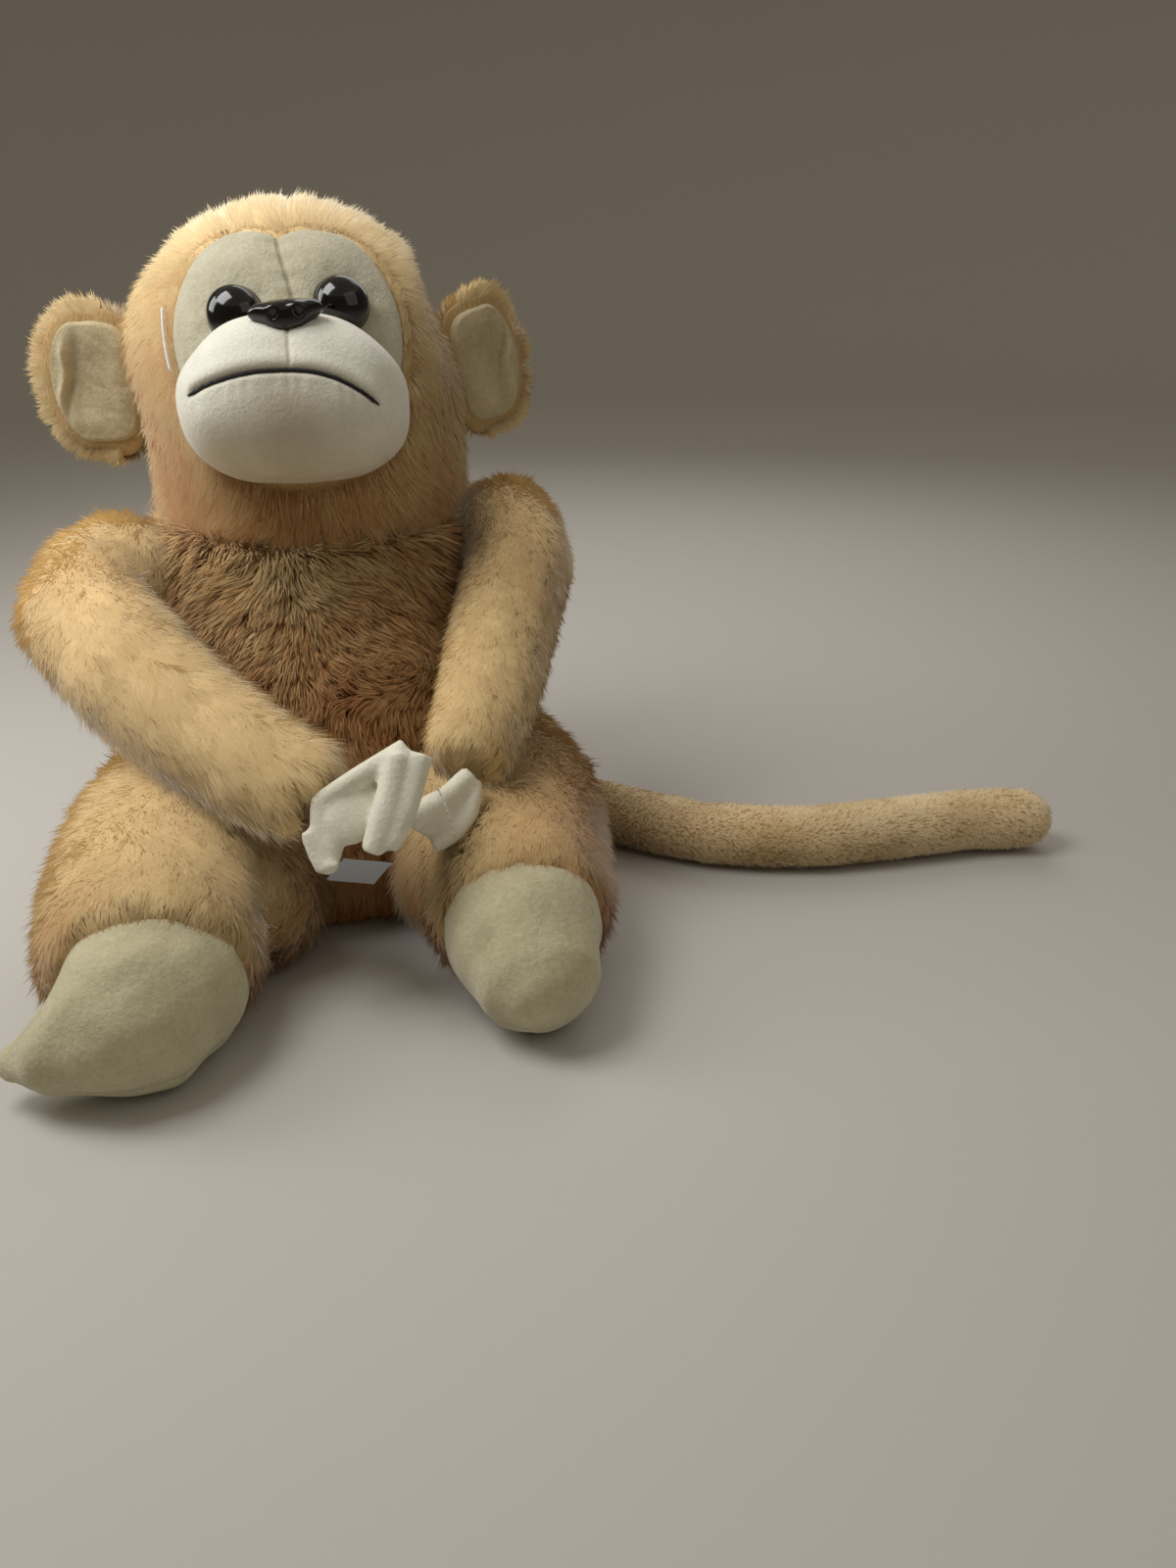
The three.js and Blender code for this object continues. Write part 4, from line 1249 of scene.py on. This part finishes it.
def buildLabel():
    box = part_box("blank_label")
    wide, high = label["flat"]
    bm = bmesh.new()
    bmesh.ops.create_grid(bm, x_segments=24, y_segments=28, size=0.5)
    mesh = meshOf(bm)
    flat = coordsOf(mesh)
    coords = np.stack([flat[:, 0] * wide, np.zeros(len(flat)), flat[:, 1] * high], 1)
    coords[:, 1] = 0.5 * np.sin(coords[:, 0] / 5.5) + 0.25 * np.sin(coords[:, 2] / 4 + 1)
    turn = np.array(Matrix.Rotation(math.radians(label["turn"]), 4, "Z")
                    @ Matrix.Rotation(math.radians(label["lean"]), 4, "X")
                    @ Matrix.Rotation(math.radians(label["roll"]), 4, "Y"))
    middle = np.array((box[0] + box[1]) / 2) / mm
    coords = coords @ turn[:3, :3].T + middle + np.array(label["shift"])
    moveTo(mesh, coords * mm)
    piece = newPiece("blankLabel", mesh, ribbonFinish("ribbon", "dfe7f0", "c3cedb"))
    thicken(piece, label["thick"], 0)
    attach(piece, "torso")
    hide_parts("blank_label")


threads = {
    "loose": [(25, -77, 71.5), (26.2, -80, 69.5), (27.2, -82, 66), (28, -82.5, 61.5), (28.8, -82, 57)],
    "looseRadii": [0.32, 0.32, 0.3, 0.3, 0.34],
    "clear": [(-37, -7), (-38, 0), (-38, 6), (-37.6, 12)],      # across and up the head
    "clearRadii": [0.4, 0.38, 0.38, 0.42], "lift": 1.04,
}


def buildThreads():
    loose = newPiece("looseThread", tubeMesh(threads["loose"], threads["looseRadii"]),
                     twistFinish("creamThread", "f3efe2", "cfc9b4", 0.5))
    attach(loose, "arm_right")
    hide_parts("loose_thread")
    points = [headMatrix @ (skullPoint(x, z) * threads["lift"]) for x, z in threads["clear"]]
    clear = newPiece("tagFilament", tubeMesh(points, threads["clearRadii"]),
                     mouldedFinish("clearNylon", "f2f3f2", "e2e4e4", 0.25))
    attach(clear, "head")
    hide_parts("tag_filament")


buildLabel()
buildThreads()
print("tail and trim made")


def lineComb(line):
    # fur follows a limb from its root to its end
    knots = np.array(line, float)
    legsOf = unit(knots[1:] - knots[:-1])
    middles = (knots[1:] + knots[:-1]) / 2

    def comb(points):
        away = np.linalg.norm(points[:, None] - middles[None], axis=2)
        weight = np.exp(-(away / 22) ** 2) + 1e-6
        return unit((weight[:, :, None] * legsOf[None]).sum(axis=1))
    return comb


def fringe(q):
    # 1 next to the face panel, where short fur leans in over its edge
    return smoothStep(1.13, 1.02, maskReach(q[:, 0], q[:, 2])) * (q[:, 1] < 0) * (q[:, 2] > -12)


def headComb(points):
    q = toHead(points)
    out = q - np.array([0, -48, 4])
    local = unit(out)
    hang = 1 - smoothStep(8, 42, q[:, 2])
    local[:, 2] -= 1.5 * hang
    local[:, 0] += np.sign(q[:, 0]) * 0.35 * np.exp(-(q[:, 0] / 6) ** 2) * (q[:, 2] > 20)
    local *= (1 - 1.5 * fringe(q))[:, None]
    turn = np.array(headMatrix)[:3, :3]
    return unit(local @ turn.T) + drift(points, 26, 61) * 0.28


def torsoComb(points):
    way = np.zeros_like(points)
    way[:, 2] = -1
    chest = np.exp(-((points[:, 2] - 112) / 20) ** 2) * (points[:, 1] < 45)
    way[:, 0] += np.tanh((points[:, 0] + 8) / 18) * chest * 0.9
    return way + drift(points, 30, 62) * 0.55


rightArm = [(-64, 38, 112), (-75, 14, 108), (-62, -16, 97), (-36, -44, 79), (-13, -61, 68)]
leftArm = [(67, 36, 119), (68, 16, 113), (57, -12, 96), (45, -40, 79), (38, -55, 71)]
rightLeg = [(-44, 2, 34), (-53, -28, 33), (-59, -56, 30), (-60, -83, 26)]
leftLeg = [(44, 2, 34), (50, -28, 33), (50, -54, 29), (48, -80, 25)]


def limbComb(line, sag, wander, seed):
    follow = lineComb(line)

    def comb(points):
        way = follow(points)
        way[:, 2] -= sag
        return way + drift(points, 20, seed) * wander
    return comb


furBase = {"ragged": 0.4, "glint": 0.16, "fray": 0.2, "toneJitter": 0.02, "tuftTone": 0.035,
           "shade": False}
furLook = {
    "head": {"perMm2": 4.8, "length": 8.5, "width": 0.4, "rise": 52, "fall": 80,
             "clump": 0.38, "clumpSize": 3.4},
    "torso": {"perMm2": 4.4, "length": 11.0, "width": 0.42, "rise": 44, "fall": 78,
              "clump": 0.45, "clumpSize": 4.2, "fray": 0.24, "glint": 0.2, "tuftTone": 0.04,
              "shade": True},
    "back": {"perMm2": 4.2, "length": 11.0, "width": 0.42, "rise": 48, "fall": 80,
             "clump": 0.4, "clumpSize": 4.2, "fray": 0.24},
    "leg": {"perMm2": 4.4, "length": 9.5, "width": 0.4, "rise": 52, "fall": 80,
            "clump": 0.3, "clumpSize": 3.8, "fray": 0.22, "glint": 0.1, "tuftTone": 0.025},
    "rightArm": {"perMm2": 5.3, "length": 11.0, "width": 0.4, "rise": 52, "fall": 82,
                 "clump": 0.42, "clumpSize": 4.0},
    "leftArm": {"perMm2": 6.3, "length": 7.5, "width": 0.38, "rise": 50, "fall": 80,
                "clump": 0.35, "clumpSize": 3.2},
    "ear": {"perMm2": 9.5, "length": 6.0, "width": 0.38, "rise": 30, "fall": 62,
            "clump": 0.35, "clumpSize": 2.4, "fray": 0.3},
    "tail": {"perMm2": 4.6, "length": 3.0, "width": 0.4, "rise": 34, "fall": 76,
             "clump": 0.2, "clumpSize": 1.8, "fray": 0.25, "glint": 0.12, "toneJitter": 0.05,
             "tuftTone": 0.02},
}
furLook = {part: {**furBase, **look} for part, look in furLook.items()}
furLook["head"]["lengthOf"] = lambda p: (1 + 0.45 * smoothStep(-18, -44, toHead(p)[:, 2])
                                         - 0.5 * fringe(toHead(p)))
furLook["torso"]["lengthOf"] = lambda p: 1 + 0.25 * smoothStep(100, 124, p[:, 2])


def headTone(points, normals):
    q = toHead(points)
    # painted light: lighter towards the crown, where the light falls from above; a little darker over
    # the head's right side, painted shade that tones down the side light there
    tone = (0.44 + 0.33 * smoothStep(12, 48, q[:, 2]) - 0.05 * smoothStep(-20, -45, q[:, 0])
            + 0.04 * drift(points, 22, 71)[:, 0])
    # painted shade in the hollow beside the lower face panel
    tone -= 0.08 * smoothStep(30, 40, np.abs(q[:, 0])) * smoothStep(20, 0, q[:, 2]) * (q[:, 1] < -10)
    # painted shade under the muzzle, darker low on the front of the head where it meets the chest
    return tone - 0.20 * smoothStep(-14, -50, q[:, 2]) * smoothStep(25, -25, q[:, 1])


def torsoTone(points, normals):
    # the front stays near the dark end of the ramp: partly the belly's own orange-brown, partly
    # painted shade under the head; lighter towards the neck to meet the head's fur
    chest = smoothStep(62, 126, points[:, 2])
    return 0.13 + 0.17 * chest + 0.05 * drift(points, 24, 72)[:, 0]


def backTone(points, normals):
    return 0.44 + 0.08 * smoothStep(40, 110, points[:, 2]) + 0.04 * drift(points, 24, 77)[:, 0]


def legTone(points, normals):
    blush = smoothStep(0.2, 1.4, drift(points, 34, 73)[:, 0])
    shade = 0.18 * smoothStep(20, 60, points[:, 0])
    shade += 0.16 * smoothStep(44, 20, np.abs(points[:, 0])) * smoothStep(50, 25, points[:, 2])
    return 0.45 + 0.08 * smoothStep(25, 60, points[:, 2]) - 0.15 * blush - shade


def armTone(points, normals):
    # a little darker towards the left arm: painted shade on the side away from the lights
    return 0.53 - 0.05 * smoothStep(0, 40, points[:, 0]) + 0.04 * drift(points, 24, 74)[:, 0]


def earTone(points, normals):
    return 0.48 + 0.05 * drift(points, 14, 75)[:, 0]


def tailTone(points, normals):
    # upward-facing fur lighter: painted light from above
    return 0.55 + 0.12 * drift(points, 20, 76)[:, 0] + 0.15 * np.clip(normals[:, 2], 0, 1)


openHead = clearOf(headCover, [torso], 1.5)
openTorso = clearOf(torso, [headCover, legs["right"], legs["left"]], 1.5)


def onHeadFur(points):
    q = toHead(points)
    onFace = (q[:, 1] < 0) & (maskReach(q[:, 0], q[:, 2]) < 1.0)
    local = q - np.array(muzzle["centre"])
    inMuzzle = np.sum((local / (np.array(muzzle["size"]) + 1)) ** 2, axis=1) < 1
    return ~onFace & ~inMuzzle


def onFront(points):
    # the torso's front, as far back as its side seams, which lean back as they rise
    return points[:, 1] < 12 + 0.42 * (points[:, 2] - 45)


def offGround(points):
    return points[:, 2] > 2.5


for name, keep, seed in (("right", lambda p: onHeadFur(p) & (p[:, 0] < 2), 101),
                         ("left", lambda p: onHeadFur(p) & (p[:, 0] >= 2), 102)):
    growFur("headFur_" + name, headCover, "head", tones, furLook["head"], headComb, headTone,
            openHead, keep, seed)
growFur("torsoFur_front", torso, "torso", tones, furLook["torso"], torsoComb, torsoTone,
        openTorso, lambda p: onFront(p) & offGround(p), 103)
for name, keep, seed in (
        ("Right", lambda p: ~onFront(p) & offGround(p) & (p[:, 0] < 0), 104),
        ("Left", lambda p: ~onFront(p) & offGround(p) & (p[:, 0] >= 0), 105)):
    growFur("torsoFur_back" + name, torso, "torso", tones, furLook["back"], torsoComb, backTone,
            openTorso, keep, seed)
for side, line, split, seed in (("right", rightLeg, -50, 106), ("left", leftLeg, 46, 116)):
    openLeg = clearOf(legs[side], [torso, feet[side]], 1.5)
    for part, keep in (("West", lambda p: (p[:, 0] < split) & offGround(p)),
                       ("East", lambda p: (p[:, 0] >= split) & offGround(p))):
        growFur("legFur%s_%s" % (part, side), legs[side], "leg_" + side, tones, furLook["leg"],
                limbComb(line, 0.35, 0.4, 63), legTone, openLeg, keep, seed)
        seed += 1
for side, line, seed in (("right", rightArm, 108), ("left", leftArm, 109)):
    openArm = clearOf(sleeves[side], [torso, handPieces[side]], 1.0)
    growFur("sleeveFur_" + side, sleeves[side], "arm_" + side, tones, furLook[side + "Arm"],
            limbComb(line, 0.35, 0.3, 64), armTone, openArm, None, seed)
for side, seed in (("right", 110), ("left", 111)):
    cover, place = earPieces[side]
    back = place[:3, :3] @ np.array([0, 1, 0])
    centre = place[:3, 3]
    # where the ear leaves the head
    base = centre + place[:3, 0] * (16 if side == "right" else -16)

    def earComb(points):
        return unit(points - base) + 0.2 * back + drift(points, 10, 65) * 0.25

    def offInner(points):
        local = (points - centre) @ place[:3, :3]
        inward = local[:, 0] * (1 if side == "right" else -1)
        reach = earReach(side, local[:, 0], local[:, 2])
        return (local[:, 1] > 0.5) | ((reach > 0.9) & (inward < 9))

    openEar = clearOf(cover, [headCover], 0.8)
    growFur("earFur_" + side, cover, "ear_" + side, tones, furLook["ear"], earComb, earTone,
            openEar, offInner, seed)
openTail = clearOf(tailPiece, [torso], 1.0)
tailFur = growFur("tailFur", tailPiece, None, tailTones, furLook["tail"],
                  limbComb(tail["line"], 0.2, 0.3, 66), tailTone, openTail, None, 112)
for piece in (tailPiece, tailFur):
    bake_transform(piece)
print("fur grown")
